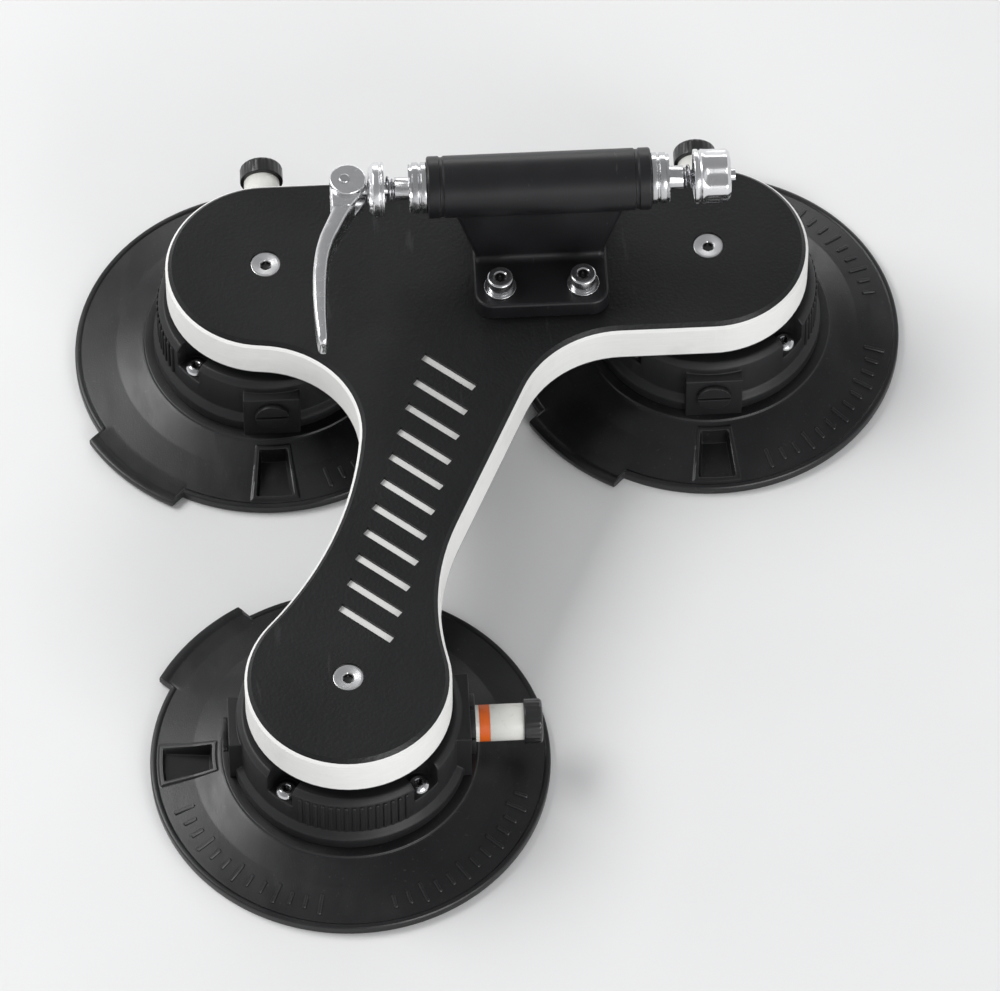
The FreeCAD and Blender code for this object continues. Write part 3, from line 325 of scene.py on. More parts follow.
def warning_orange():
    band = Finish("warning band", IOR=1.5)
    cloud = band.grain(3, detail=4)
    shade = band.blend(cloud, colour(0.86, 0.16, 0.012), colour(0.70, 0.11, 0.010))
    band.put(Base_Color=shade, Roughness=0.34 + cloud * 0.16,
             Normal=band.bump(band.grain(0.5), 0.02))
    return band.material


for make in (hub_plastic, button_plastic, plunger_plastic, warning_orange):
    FINISHES[make.__name__] = make()
print("with plastics", *FINISHES)

# %% [markdown]
# ## The board
# The board is one co-extruded sheet of polyethylene, black on both faces and white inside. Its
# faces have a pebbled skin from the rollers. Routing cuts through the black and leaves fine
# sideways tool marks on the white, so the white gets long thin grain that follows the cut.

# %% Board finishes
def board_black():
    skin = Finish("board black skin", IOR=1.51, Specular_IOR_Level=0.35)
    pebbles = skin.cells(1.15, "SMOOTH_F1")
    cloud = skin.grain(42, detail=4, warp=0.4)
    handled = skin.grain(60, detail=3).clip(0.45, 0.65)
    scuffs = skin.scratches(3.6, stretch=(1, 0.13, 1), least=0.66) * handled
    shade = skin.blend(cloud, colour(0.0042, 0.0044, 0.0048), colour(0.0095, 0.0098, 0.0106))
    shade = skin.blend(scuffs * 0.16, shade, colour(0.06, 0.061, 0.064))
    skin.put(Base_Color=shade,
             Roughness=0.34 + cloud * 0.12 + scuffs * 0.08,
             Normal=skin.bump(pebbles + skin.grain(0.35) * 0.25, 0.085))
    return skin.material


def board_white():
    core = Finish("board white core", IOR=1.51)
    passes = core.grain(0.9, detail=3, stretch=(0.10, 0.10, 1.0))
    chatter = core.grain(0.7, stretch=(1.0, 1.0, 0.12))
    stain = core.grain(11, detail=4).clip(0.55, 0.9)
    shade = core.blend(passes, colour(0.88, 0.88, 0.86), colour(0.80, 0.80, 0.775))
    shade = core.blend(stain * 0.35, shade, colour(0.55, 0.54, 0.50))
    core.put(Base_Color=shade, Roughness=0.42 + passes * 0.16,
             Normal=core.bump(passes + chatter * 0.5, 0.035))
    return core.material


for make in (board_black, board_white):
    FINISHES[make.__name__] = make()
print("with the board", *FINISHES)

# %% [markdown]
# ## Metals
# Screws and the axle are stainless and come off a lathe, so their fine lines run round the axis
# on the side and in rings on the end. Noise on two numbers, the way along the axis and the
# distance from it, gives both at once. The cup and the nut of the quick release are aluminium,
# turned the same way, and its lever is forged and tumbled bright. The block is anodised black and
# wears back to bright metal at its corners. The plates in the pads are zinc-plated sheet, so
# their grain runs one way, as the mill rolled it.

# %% Metal finishes
# A kind of metal: its light colour, its dark colour and its roughness
STEEL = colour(0.70, 0.70, 0.71), colour(0.52, 0.52, 0.53), 0.17
SPRING_STEEL = colour(0.50, 0.50, 0.52), colour(0.36, 0.36, 0.38), 0.22
SATIN_STEEL = colour(0.78, 0.78, 0.78), colour(0.64, 0.64, 0.65), 0.27
BRASS = colour(0.78, 0.58, 0.26), colour(0.60, 0.42, 0.17), 0.22
ALUMINIUM = colour(0.83, 0.83, 0.84), colour(0.70, 0.70, 0.71), 0.19


def metal(name, kind, centres=(), along="Z", socket=0.0):
    """Turned about the given axes, or plain tumbled metal where there are none.

    socket is the radius in millimetres of a driver's hole, whose inside gets a painted shade.
    """
    light, dark, roughness = kind
    bare = Finish(name, Metallic=1.0)
    cut = bare.lathe(centres, along) if centres else bare.place
    lines = bare.grain(0.5, at=cut)
    passes = bare.grain(2.6, at=cut)
    smears = bare.grain(5, detail=3, warp=0.5).clip(0.5, 0.85)
    shade = bare.blend(passes * 0.7 + smears * 0.3, light, dark)
    if socket:
        # Painted shade: the inside of the driver's hole is darkened nearly to black.
        socket_shade = 1 - bare.from_axis(centres, along).clip(socket * 0.95 * MM, socket * 1.15 * MM)
        shade = bare.blend(socket_shade * 0.9, shade, colour(0.03, 0.03, 0.032))
    bare.put(Base_Color=shade,
             Roughness=roughness + lines * 0.07 + smears * 0.12,
             Normal=bare.bump(lines + passes, 0.0016 if centres else 0.0008))
    return bare.material


def plated_sheet():
    sheet = Finish("plated sheet", Metallic=1.0)
    rolled = sheet.grain(0.5, stretch=(0.04, 1, 1))
    cloud = sheet.grain(14, detail=4, warp=0.5)
    stain = sheet.grain(3.5, detail=3).clip(0.58, 0.8)
    shade = sheet.blend(cloud, colour(0.60, 0.61, 0.64), colour(0.44, 0.45, 0.47))
    sheet.put(Base_Color=shade, Roughness=0.27 + rolled * 0.12 + stain * 0.14,
              Normal=sheet.bump(rolled, 0.0015))
    return sheet.material


def black_aluminium():
    block = Finish("anodised block")
    lines = block.grain(0.7, stretch=(0.03, 1, 1))
    cloud = block.grain(14, detail=4)
    worn = block.edges(0.5) * block.grain(1.6, detail=3).clip(0.42, 0.62)
    hairlines = block.scratches(1.5, stretch=(1, 0.05, 0.5), least=0.68)
    shade = block.blend(cloud, colour(0.006, 0.006, 0.007), colour(0.014, 0.014, 0.016))
    shade = block.blend(hairlines * 0.12, shade, colour(0.2, 0.2, 0.2))
    shade = block.blend(worn * 0.6, shade, colour(0.42, 0.42, 0.43))
    block.put(Base_Color=shade,
              Metallic=0.25 + worn * 0.5,
              Roughness=0.33 + cloud * 0.08 + lines * 0.08,
              Normal=block.bump(lines, 0.004))
    return block.material


FINISHES["steel"] = metal("stainless steel", STEEL)
FINISHES["spring_steel"] = metal("spring wire", SPRING_STEEL)
FINISHES["brass"] = metal("brass", BRASS)
FINISHES["black_aluminium"] = black_aluminium()
FINISHES["bare_aluminium"] = metal("bare aluminium", ALUMINIUM)
AXLE_STEEL = metal("axle steel", STEEL, [axle], "X")
AXLE_ALUMINIUM = metal("turned aluminium", ALUMINIUM, [axle], "X")
PLATED_SHEET = plated_sheet()
print("all finishes", *FINISHES)

# %% [markdown]
# ## Dressing the solids
# Every solid takes the finish that the record names for it. Those that stay in view also get a
# narrow real bevel. Their mesh is split where faces meet, so a Weld joins it again first, and the
# Bevel then only touches edges that turn by more than its angle.

# %% Finish for every solid, real bevels for those in view
WELD_REACH = 1e-6
TRUE_EDGE = math.radians(34)


def dress(node, finish):
    """Give a solid its finish."""
    mesh = frame["nodes"][node].data
    mesh.materials.clear()
    mesh.materials.append(finish)


def soften(node, width, steps=2):
    """A narrow bevel on a solid's true edges."""
    solid = frame["nodes"][node]
    weld = solid.modifiers.new("join faces", "WELD")
    weld.merge_threshold = WELD_REACH
    bevel = solid.modifiers.new("break edges", "BEVEL")
    bevel.width = width * MM
    bevel.segments = steps
    bevel.limit_method = "ANGLE"
    bevel.angle_limit = TRUE_EDGE
    bevel.use_clamp_overlap = False
    bevel.miter_outer = "MITER_ARC"
    bevel.harden_normals = True


for subpart in frame["record"]["subparts"]:
    dress(subpart["node"], FINISHES[subpart["material_slot"]])
for node, width in {"hollow_axle": 0.25, "skewer_rod": 0.1, "cam_pin": 0.3,
                    "mount_nuts": 0.2, "mount_washers": 0.15}.items():
    soften(node, width)
for node in ("hollow_axle", "skewer_rod"):
    dress(node, AXLE_STEEL)
for cup in PUMP_BEARING:
    soften(cup + "_hub", 0.5, steps=3)
    soften(cup + "_hub_lid", 0.3)
    soften(cup + "_valve_plug", 0.25)
    soften(cup + "_plunger", 0.2)
    dress(cup + "_clamp_plate", PLATED_SHEET)
softened = [node for node, solid in frame["nodes"].items() if solid.modifiers]
print("bevels on", len(softened), "solids")

# %% [markdown]
# ## One way to make a mesh
# Nearly all of the new pieces are rings of points with a skin over them: a turned part is a ring
# at each point of its profile, a lever is a ring at each station along its arm. So one small class
# gathers rings, and one function turns it into a finished piece that rides on its body.

# %% A form made of rings
SAME_POINT = 2e-7
NO_AREA = 1e-15


class Form:
    """Corners and faces that are gathered before they become one mesh."""

    def __init__(self):
        self.corners = []
        self.faces = []

    def skin(self, rings, placing=Matrix(), closed=False):
        """Faces between each ring and the next, with a cap on both ends if not closed."""
        first = len(self.corners)
        size = len(rings[0])
        for ring in rings:
            self.corners += [placing @ Vector(point) for point in ring]
        runs = len(rings) if closed else len(rings) - 1
        for run in range(runs):
            here = first + run * size
            there = first + (run + 1) % len(rings) * size
            for step in range(size):
                ahead = (step + 1) % size
                self.faces.append((here + step, here + ahead, there + ahead, there + step))
        if not closed:
            last = first + (len(rings) - 1) * size
            self.faces.append(tuple(first + step for step in range(size)))
            self.faces.append(tuple(last + step for step in range(size)))
        return self

    def turn(self, profile, placing=Matrix(), steps=96, shape=None):
        """Spin (radius, height) points about Z. shape bends a point by its angle.

        steps is a count of even steps, or a list of angles where some places need finer ones.
        """
        if isinstance(steps, int):
            steps = [math.tau * step / steps for step in range(steps)]
        rings = []
        for radius, height in profile:
            ring = []
            for angle in steps:
                r, z = shape(radius, height, angle) if shape else (radius, height)
                ring.append((r * math.cos(angle), r * math.sin(angle), z))
            rings.append(ring)
        closed = profile[0][0] > 0 and profile[-1][0] > 0
        return self.skin(rings, placing, closed)


def mesh_object(name, form):
    """The form as an object, with doubled points joined and every face turned outwards."""
    mesh = bpy.data.meshes.new(name)
    mesh.from_pydata(form.corners, [], form.faces)
    tidy = bmesh.new()
    tidy.from_mesh(mesh)
    bmesh.ops.remove_doubles(tidy, verts=tidy.verts, dist=SAME_POINT)
    thin = [face for face in tidy.faces if face.calc_area() < NO_AREA]
    bmesh.ops.delete(tidy, geom=thin, context="FACES_ONLY")
    bmesh.ops.recalc_face_normals(tidy, faces=tidy.faces)
    tidy.to_mesh(mesh)
    tidy.free()
    made = bpy.data.objects.new(name, mesh)
    bpy.context.scene.collection.objects.link(made)
    return made


def make_piece(name, form, body, slot, stands_for=(), crease=32, finish=None):
    """One mesh from a form, with clean normals, its finish and its body."""
    piece = mesh_object(name, form)
    piece.data.shade_smooth()
    piece.data.set_sharp_from_angle(angle=math.radians(crease))
    piece.data.materials.append(finish or FINISHES[slot])
    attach(piece, body)
    if stands_for:
        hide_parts(*stands_for)
    print("made", name, len(piece.data.vertices), "points")
    return piece


# %% [markdown]
# ## Rounded corners
# No moulded or machined corner is sharp. A profile is written as corners with a radius each, in
# millimetres, and this helper puts an arc at every corner, so the light finds an edge to run along.
# A ramp and a window, which rise and fall smoothly, blend small relief into the turned shapes.

# %% Round the corners of a profile
def rounded(corners, steps=4):
    """Points in metres from (across, up, radius) corners in millimetres."""
    points = []
    for index, (across, up, radius) in enumerate(corners):
        here = Vector((across, up)) * MM
        if radius == 0:
            points.append(here)
            continue
        before = Vector(corners[index - 1][:2]) * MM - here
        after = Vector(corners[(index + 1) % len(corners)][:2]) * MM - here
        half = before.angle(after) / 2
        reach = radius * MM / math.tan(half)
        start = before.normalized() * reach
        end = after.normalized() * reach
        centre = (before.normalized() + after.normalized()).normalized()
        centre *= radius * MM / math.sin(half)
        for step in range(steps + 1):
            spoke = (start - centre).lerp(end - centre, step / steps)
            points.append(here + centre + spoke.normalized() * radius * MM)
    return points


def between(start, end, spacing):
    """Evenly spaced plain corners from one place to another."""
    run = Vector(end) - Vector(start)
    count = max(1, round(run.length / spacing))
    return [(*(Vector(start) + run * step / count), 0) for step in range(count + 1)]


def ramp_up(value, start, end):
    """0 before start, 1 after end, smooth between."""
    share = min(1.0, max(0.0, (value - start) / (end - start)))
    return share * share * (3 - 2 * share)


def window(value, half, soft):
    """1 well inside plus or minus half, 0 outside it."""
    return 1 - ramp_up(abs(value), half - soft, half)


print("a rounded corner has", len(rounded([(0, 0, 1), (9, 0, 0), (0, 9, 0)])) - 2, "points")

# %% [markdown]
# ## The pads
# A pad is one moulding: a thin flat lip, a shoulder, a crown under the hub and a hollow below. A
# profile spun round gives all of that. The notch that lets a finger break the seal and the tab
# that the pad is peeled off by are not round, so the spin bends them in where they belong. Doing
# it by bending keeps one smooth skin, with the soft corners of a real mould. The notch's walls
# follow the rings and spokes of the spin, because a wall that crosses them comes out ragged.

# %% Pad sizes
pad_radius = extent("rear_pad", X) / 2
crown = high("rear_pad").z / MM
plate_radius = extent("rear_clamp_plate", X) / 2
chamber_top = high("rear_clamp_plate").z / MM
hub_radius = extent("rear_hub", Y) / 2
MOUTH_RADIUS, GROOVES, GROOVE_DEPTH = 52, (56, 61, 66, 71), 0.5
NOTCH_AT, NOTCH_HALF, NOTCH_INNER, NOTCH_OUTER = math.pi, 6, 53, 71
NOTCH_FLOOR, NOTCH_WALL = 2.2, 1.0
RIM_RISE, RIM_WIDTH, RIM_WALL = 0.5, 2.4, 0.9
TAB_AT, TAB_HALF, TAB_REACH, TAB_WALL = math.radians(135), 22, 6, 1.6
TAB_LIFT, TAB_THINNING = 0.8, 0.3
FINE_STEP = 0.3
print("pad", round(2 * pad_radius, 1), "mm across, crown", round(crown, 1), "mm high")


# %% Pad profile, notch and tab
def pad_profile():
    """Chamber roof, mouth, grooved sealing face, lip and sloping top, back to the crown."""
    corners = [(0, chamber_top, 0), (plate_radius + 2, chamber_top, 1.2), (MOUTH_RADIUS, 0, 0.5)]
    for groove in GROOVES:
        corners += [(groove, 0, 0.15), (groove + 0.4, GROOVE_DEPTH, 0.15),
                    (groove + 1.2, GROOVE_DEPTH, 0.15), (groove + 1.6, 0, 0.15)]
    corners += [(pad_radius, 0, 0.4), (pad_radius, 3.9, 0.9), (pad_radius - 1.9, 4.1, 0.8),
                (pad_radius - 2.4, 3.6, 0.3)]
    corners += between((pad_radius - 3, 3.75), (60, 6.4), 0.35)
    corners += between((59.7, 6.48), (49.8, 9.7), 0.4)
    corners += [(49.0, 10.1, 0.3), (48.6, 10.9, 0.4), (hub_radius + 1, crown, 0.2), (0, crown, 0)]
    return rounded(corners, 3)


def in_notch(r, angle, margin, wall):
    """1 inside the notch and a margin round it, 0 outside, with a wall between."""
    centre = (NOTCH_INNER + NOTCH_OUTER) / 2
    reach = (NOTCH_OUTER - NOTCH_INNER) / 2
    across = window((angle - NOTCH_AT) * centre, NOTCH_HALF + margin, wall)
    return across * window(r - centre, reach + margin, wall)


def pad_shape(radius, height, angle):
    """Let the finger notch in, with a raised rim round it, and pull the tab out."""
    r, z = radius / MM, height / MM
    if z > NOTCH_FLOOR and r < pad_radius - 1:
        sunk = in_notch(r, angle, NOTCH_WALL / 2, NOTCH_WALL)
        z += RIM_RISE * in_notch(r, angle, RIM_WIDTH, RIM_WALL) * (1 - sunk)
        z += (NOTCH_FLOOR - z) * sunk
    off_tab = angle - TAB_AT
    on_tab = window(pad_radius * math.sin(off_tab), TAB_HALF, TAB_WALL) if abs(off_tab) < 1 else 0
    pull = on_tab * ramp_up(r, pad_radius - 5, pad_radius - 1)
    if pull:
        z += pull * (TAB_LIFT - z * TAB_THINNING)
    return (r + TAB_REACH * pull) * MM, z * MM


def pad_angles():
    """Even steps of a degree, with fine ones at the notch and at both ends of the tab."""
    fine = []
    tab, tab_half = math.degrees(TAB_AT), math.degrees(TAB_HALF / pad_radius)
    notch = math.degrees(NOTCH_AT)
    for centre, half in ((tab - tab_half, 3), (tab + tab_half, 3), (notch, 10)):
        count = round(2 * half / FINE_STEP) + 1
        fine += [centre - half + FINE_STEP * index for index in range(count)]
    even = [degree for degree in range(360)
            if min(abs(degree - angle) for angle in fine) > 0.5]
    return [math.radians(degree) for degree in sorted(even + fine)]


# %% Turn the three pads
for cup in PUMP_BEARING:
    pad = Form().turn(pad_profile(), mount_frame(cup), pad_angles(), pad_shape)
    make_piece(cup + "_rubber_pad", pad, "rack", "pad_rubber", [cup + "_pad"], crease=28)

# %% [markdown]
# ## Small raised ribs
# Moulders like short raised ribs: on the pad they show how far it has flattened, on the hub they
# give grip. Each is a little loaf with drafted sides, made from three rings, and a loop sets them
# round.

# %% A loaf-shaped rib and where the ribs go
RIB_WIDTH, RIB_ROOT, RIB_DRAFT = 1.5, 0.4, 0.3
PAD_RIBS = [angle for start in (198, 282) for angle in range(start, start + 61, 5)]
PAD_RIB_RADIUS, PAD_RIB_SEAT, PAD_SLOPE = 67, 5.05, 10.8
HUB_RIBS = [angle for start in (62, -118) for angle in range(start, start + 57, 4)]
hub_rib_radius = hub_radius - 2.5
hub_rib_seat = (low("rear_hub").z / MM + high("rear_hub").z / MM) / 2 + 2.6
hub_rib_length = high("rear_hub").z / MM - low("rear_hub").z / MM - 11


def rib(form, placing, length, height):
    """A rounded bar that stands on a surface: length along X, height along Z."""
    rings = []
    for inset, level in ((0, -RIB_ROOT), (0, height - RIB_DRAFT), (RIB_DRAFT, height)):
        x, y = length / 2 - inset, RIB_WIDTH / 2 - inset
        curve = min(x, y) * 0.8
        ring = rounded([(-x, -y, curve), (x, -y, curve), (x, y, curve), (-x, y, curve)], 3)
        rings.append([(point.x, point.y, level * MM) for point in ring])
    form.skin(rings, placing)


def on_ring(cup, radius, height, angle, tilt):
    """A frame on a cup's own cylinder or cone: X outwards, tipped by tilt."""
    turn = Matrix.Rotation(math.radians(angle), 4, "Z")
    tip = Matrix.Rotation(math.radians(tilt), 4, "Y")
    return mount_frame(cup) @ turn @ Matrix.Translation((radius * MM, 0, height * MM)) @ tip


for cup in PUMP_BEARING:
    pad_ribs = Form()
    for index, angle in enumerate(PAD_RIBS):
        place = on_ring(cup, PAD_RIB_RADIUS, PAD_RIB_SEAT, angle, PAD_SLOPE)
        rib(pad_ribs, place, length=5.5 if index % 3 else 8.5, height=0.55)
    make_piece(cup + "_pad_ribs", pad_ribs, "rack", "pad_rubber")
    hub_ribs = Form()
    for angle in HUB_RIBS:
        place = on_ring(cup, hub_rib_radius, hub_rib_seat, angle, 90)
        rib(hub_ribs, place, length=hub_rib_length, height=0.8)
    make_piece(cup + "_hub_ribs", hub_ribs, "rack", "hub_plastic")

# %% [markdown]
# ## Thumb buttons
# The cap on each plunger is pressed many times to pump the air out, so its end is dished for a
# thumb and its side is fluted. The dish and the rim come from the profile, the flutes from a
# small wave in the radius.

# %% Turn the thumb buttons
BUTTON_LENGTH, STEM_RADIUS, FLUTES, FLUTE_DEPTH = 7.0, 4, 24, 0.28
button_radius = extent("rear_button", Y) / 2
stem_length = extent("rear_button", X) - BUTTON_LENGTH
ON_X = Matrix.Rotation(math.radians(90), 4, "Y")


def on_pump(cup, along):
    """A frame on a cup's pump axis, with Z along the pump."""
    return mount_frame(cup) @ Matrix.Translation((along, 0, pump_height)) @ ON_X


def fluted(radius, height, angle):
    side = ramp_up(radius / MM, button_radius - 0.5, button_radius - 0.1)
    body = window(height / MM - BUTTON_LENGTH / 2, BUTTON_LENGTH / 2 - 0.6, 1.0)
    wave = 0.5 + 0.5 * math.cos(angle * FLUTES)
    return radius - FLUTE_DEPTH * MM * side * body * wave, height


button_profile = rounded([
    (0, -stem_length, 0), (STEM_RADIUS, -stem_length, 0.3), (STEM_RADIUS, 0, 0.1),
    (button_radius, 0, 0.5), (button_radius, BUTTON_LENGTH, 1.5),
    (button_radius - 2.2, BUTTON_LENGTH, 0.5), (button_radius - 3.6, BUTTON_LENGTH - 1.5, 1.6),
    (0, BUTTON_LENGTH - 2.1, 0)], 5)
button_back = high("rear_button").x - middle("rear_hub_lid").x - BUTTON_LENGTH * MM
for cup in PUMP_BEARING:
    cap = Form().turn(button_profile, on_pump(cup, button_back), 192, fluted)
    make_piece(cup + "_thumb_button", cap, cup + "_pump", "button_plastic", [cup + "_button"])

# %% [markdown]
# ## Collars
# The collar that closes each pump bore is screwed in with a hook spanner, which needs notches
# round its flange. They are sunk into the spun shape in the way that the flutes were.

# %% Turn the collars
NECK_RADIUS, BORE_RADIUS, FLANGE = 10.0, 7.08, 2.0
NOTCHES, NOTCH_DEPTH = 6, 1.1
collar_radius = extent("rear_gland", Y) / 2
collar_length = extent("rear_gland", X)


def notched(radius, height, angle):
    r, z = radius / MM, height / MM
    off = (angle * NOTCHES / math.tau + 0.5) % 1 - 0.5
    sunk = window(off * math.tau / NOTCHES * collar_radius, 1.3, 0.35)
    if z > collar_length - FLANGE + 0.05:
        r -= sunk * ramp_up(r, collar_radius - 1.4, collar_radius - 0.4) * NOTCH_DEPTH
    return r * MM, z * MM


collar_profile = rounded([
    (BORE_RADIUS, 0, 0.2), (NECK_RADIUS, 0, 0.5), (NECK_RADIUS, collar_length - FLANGE, 0),
    (collar_radius, collar_length - FLANGE, 0.1), (collar_radius, collar_length, 0.5),
    (collar_radius - 1.5, collar_length, 0), (BORE_RADIUS, collar_length, 0.5)], 4)
collar_back = low("rear_gland").x - middle("rear_hub_lid").x
for cup in PUMP_BEARING:
    collar = Form().turn(collar_profile, on_pump(cup, collar_back), 240, notched)
    make_piece(cup + "_collar", collar, "rack", "hub_plastic", [cup + "_gland"])

# %% [markdown]
# ## Screws and bolts
# A cheap stand-in would be a plain disc. Real heads have a chamfer or a dome, a hexagon hole and
# sometimes a knurled side, and all of them are one trick: the spun radius changes with the angle.
# Three kinds are needed: dished countersunk bolts in the lobes, low domed screws in the hubs and
# tall cap screws on the block.

# %% A hexagon hole and a knurled side
KNURLS, KNURL_DEPTH = 36, 0.22


def hexagon(angle, flat):
    """Radius of a hexagon with this width across flats."""
    third = math.radians(60)
    return flat / 2 / math.cos((angle + third / 2) % third - third / 2)


def socket_head(flat, knurl_radius=None):
    """A bending rule: hexagon near the axis, knurled at the given radius."""
    def bend(radius, height, angle):
        r, z = radius / MM, height / MM
        if r <= flat / 2 + 0.05:
            return r / (flat / 2) * hexagon(angle, flat) * MM, height
        if knurl_radius:
            knurl = ramp_up(r, knurl_radius - 0.2, knurl_radius - 0.05) * window(z - 2.7, 2.4, 0.5)
            r -= KNURL_DEPTH * knurl * abs(math.sin(angle * KNURLS / 2))
        return r * MM, z * MM
    return bend


def socket_screws(profile, places, steps, bend):
    """The same screw, turned once at each place."""
    screws = Form()
    for place in places:
        screws.turn(profile, Matrix.Translation(place), steps, bend)
    return screws


print("a 4 mm hexagon is", round(2 * hexagon(math.radians(30), 4.0), 2), "mm over its corners")

# %% Cap screws on the block
WASHER_RADIUS = 6.2 * MM
HEAD_HEIGHT, HEAD_RADIUS, SHANK_RADIUS, BLOCK_SOCKET = 6.0, 5.0, 3, 4.0
head_seat = high("mount_screws").z - HEAD_HEIGHT * MM
shank = (head_seat - low("mount_screws").z) / MM
profile = rounded([
    (0, HEAD_HEIGHT - 3, 0), (BLOCK_SOCKET / 2, HEAD_HEIGHT - 3, 0),
    (BLOCK_SOCKET / 2, HEAD_HEIGHT - 0.35, 0), (2.75, HEAD_HEIGHT, 0.1),
    (HEAD_RADIUS, HEAD_HEIGHT, 0.8), (HEAD_RADIUS, 0, 0.25), (SHANK_RADIUS, 0, 0.2),
    (SHANK_RADIUS, -shank, 0.3), (0, -shank, 0)])
washers_low, washers_high = low("mount_washers"), high("mount_washers")
block_places = [Vector((x, y, head_seat))
                for x in (washers_low.x + WASHER_RADIUS, washers_high.x - WASHER_RADIUS)
                for y in (washers_low.y + WASHER_RADIUS, washers_high.y - WASHER_RADIUS)]
block_screws = socket_screws(profile, block_places, 288, socket_head(BLOCK_SOCKET, HEAD_RADIUS))
block_steel = metal("cap screw steel", STEEL, block_places, "Z", socket=2.1)
make_piece("block_screws", block_screws, "rack", "steel", ["mount_screws"], finish=block_steel)
dress("mount_washers", block_steel)

# %% Countersunk bolts in the lobes
LOBE_SOCKET = 3.9
bolt_top, bolt_foot = high("board_bolts").z, low("board_bolts").z
bolt_shank = (bolt_top - bolt_foot) / MM
profile = rounded([
    (0, -2.9, 0), (1.9, -2.5, 0), (LOBE_SOCKET / 2, -0.8, 0), (2.5, -0.4, 0.15),
    (4.9, -0.02, 0.6), (5.6, 0, 0.25), (6, -0.4, 0.2), (SHANK_RADIUS, -3.2, 0.3),
    (SHANK_RADIUS, -bolt_shank, 0.3), (0, -bolt_shank, 0)])
bolt_places = [Vector((*middle(cup + "_hub_lid").xy, bolt_top)) for cup in PUMP_BEARING]
lobe_bolts = socket_screws(profile, bolt_places, 240, socket_head(LOBE_SOCKET))
make_piece("lobe_bolts", lobe_bolts, "rack", "steel", ["board_bolts"],
           finish=metal("lobe bolt steel", SATIN_STEEL, bolt_places, "Z", socket=2.05))

# %% Domed screws in the hubs
PAN_RADIUS, PAN_HEIGHT, PAN_SHANK, PAN_SOCKET = 4.0, 2.6, 2.0, 2.5
for cup in PUMP_BEARING:
    node = cup + "_hub_screws"
    foot = extent(node, Z) - PAN_HEIGHT
    profile = rounded([
        (0, 0.9, 0), (PAN_SOCKET / 2, 1.0, 0), (PAN_SOCKET / 2, 2.35, 0), (1.8, PAN_HEIGHT, 0.1),
        (2.6, 2.45, 0.8), (3.7, 1.5, 1.2), (PAN_RADIUS, 0.5, 0.5), (PAN_RADIUS - 0.1, 0, 0.1),
        (PAN_SHANK, 0, 0.1), (PAN_SHANK, -foot, 0.3), (0, -foot, 0)])
    reach = Vector((high(node).x - low(node).x, high(node).y - low(node).y, 0)) / 2
    reach -= Vector((PAN_RADIUS, PAN_RADIUS, 0)) * MM
    places = [middle(node) + Vector((x * reach.x, y * reach.y, 0))
              for x in (-1, 1) for y in (-1, 1)]
    for place in places:
        place.z = high(node).z - PAN_HEIGHT * MM
    pan_screws = socket_screws(profile, places, 144, socket_head(PAN_SOCKET))
    make_piece(cup + "_pan_screws", pan_screws, "rack", "steel", [node],
               finish=metal(cup + " screw steel", STEEL, places, "Z", PAN_SOCKET / 2))

# %% [markdown]
# ## Join and cut
# A machined part is several plain shapes run together and then drilled. Laying closed meshes
# through each other would look the same from outside, but it leaves walls inside the part. A
# Boolean modifier finds the true outer skin, so the blanks can go once it has been read.

# %% Run closed forms together and cut others out
def joined(add, remove):
    """One closed form from the forms to add, less the forms to remove."""
    blanks = [mesh_object("blank", form) for form in (*add, *remove)]
    for index, tool in enumerate(blanks[1:], start=1):
        step = blanks[0].modifiers.new("join or cut", "BOOLEAN")
        step.solver = "EXACT"
        step.operation = "UNION" if index < len(add) else "DIFFERENCE"
        step.object = tool
    graph = bpy.context.evaluated_depsgraph_get()
    skin = blanks[0].evaluated_get(graph).to_mesh()
    whole = Form()
    whole.corners = [corner.co.copy() for corner in skin.vertices]
    whole.faces = [tuple(face.vertices) for face in skin.polygons]
    for blank in blanks:
        bpy.data.objects.remove(blank)
    print("joined", len(add), "forms and cut", len(remove), "out:", len(whole.faces), "faces")
    return whole


def drill(radius, start, end, placing):
    """A plain cylinder along Z for cutting a hole, in millimetres."""
    outline = [(0, start), (radius, start), (radius, end), (0, end)]
    return Form().turn([(across * MM, up * MM) for across, up in outline], placing, 64)


def even_normals(piece):
    """Let the large flat faces decide how the light falls on the small ones beside them."""
    piece.modifiers.new("even normals", "WEIGHTED_NORMAL").keep_sharp = True


# %% [markdown]
# ## The block
# The block is milled from one piece: a foot with rounded corners, a web that widens upwards and a
# barrel bored for the axle. Each is its own stack of rings, with the fillets where a ball cutter
# leaves them. The three are joined, and the screw holes are drilled. The barrel has its bore from
# its own profile. The bore isn't cut through the web, unlike on the real one, so the top of the
# web still stands in it, out of sight, and reaches into the axle and the lowest part of the rod.

# %% Sizes of the block
block = middle("fork_block")
foot_top = low("mount_washers").z
FOOT_HALF_X, FOOT_CORNER, FOOT_CHAMFER = 26.0, 7.0, 1.1
foot_half_y = extent("fork_block", Y) / 2
foot_height = (foot_top - low("fork_block").z) / MM
axle_rise = (axle.z - foot_top) / MM
WEB_HALF_Y, WEB_FOOT_X, WEB_HEAD_X, WEB_CORNER, FILLET = 8.0, 24.8, 35.5, 2.6, 3.0
JOIN_DEPTH = 0.15
BARREL, BARREL_BORE, SCREW_HOLE = 12.0, 6.05, 3.2
barrel_half = extent("fork_block", X) / 2
barrel_foot = axle_rise - BARREL
at_foot = Matrix.Translation((block.x, block.y, foot_top))
print("block", round(2 * barrel_half, 1), "mm long, axle", round(axle_rise, 1), "mm over its foot")


# %% Foot, web and barrel
def slab_ring(half_x, half_y, corner, level):
    """A rounded rectangle lying at one height."""
    outline = rounded([(-half_x, -half_y, corner), (half_x, -half_y, corner),
                       (half_x, half_y, corner), (-half_x, half_y, corner)], 7)
    return [(point.x, point.y, level * MM) for point in outline]


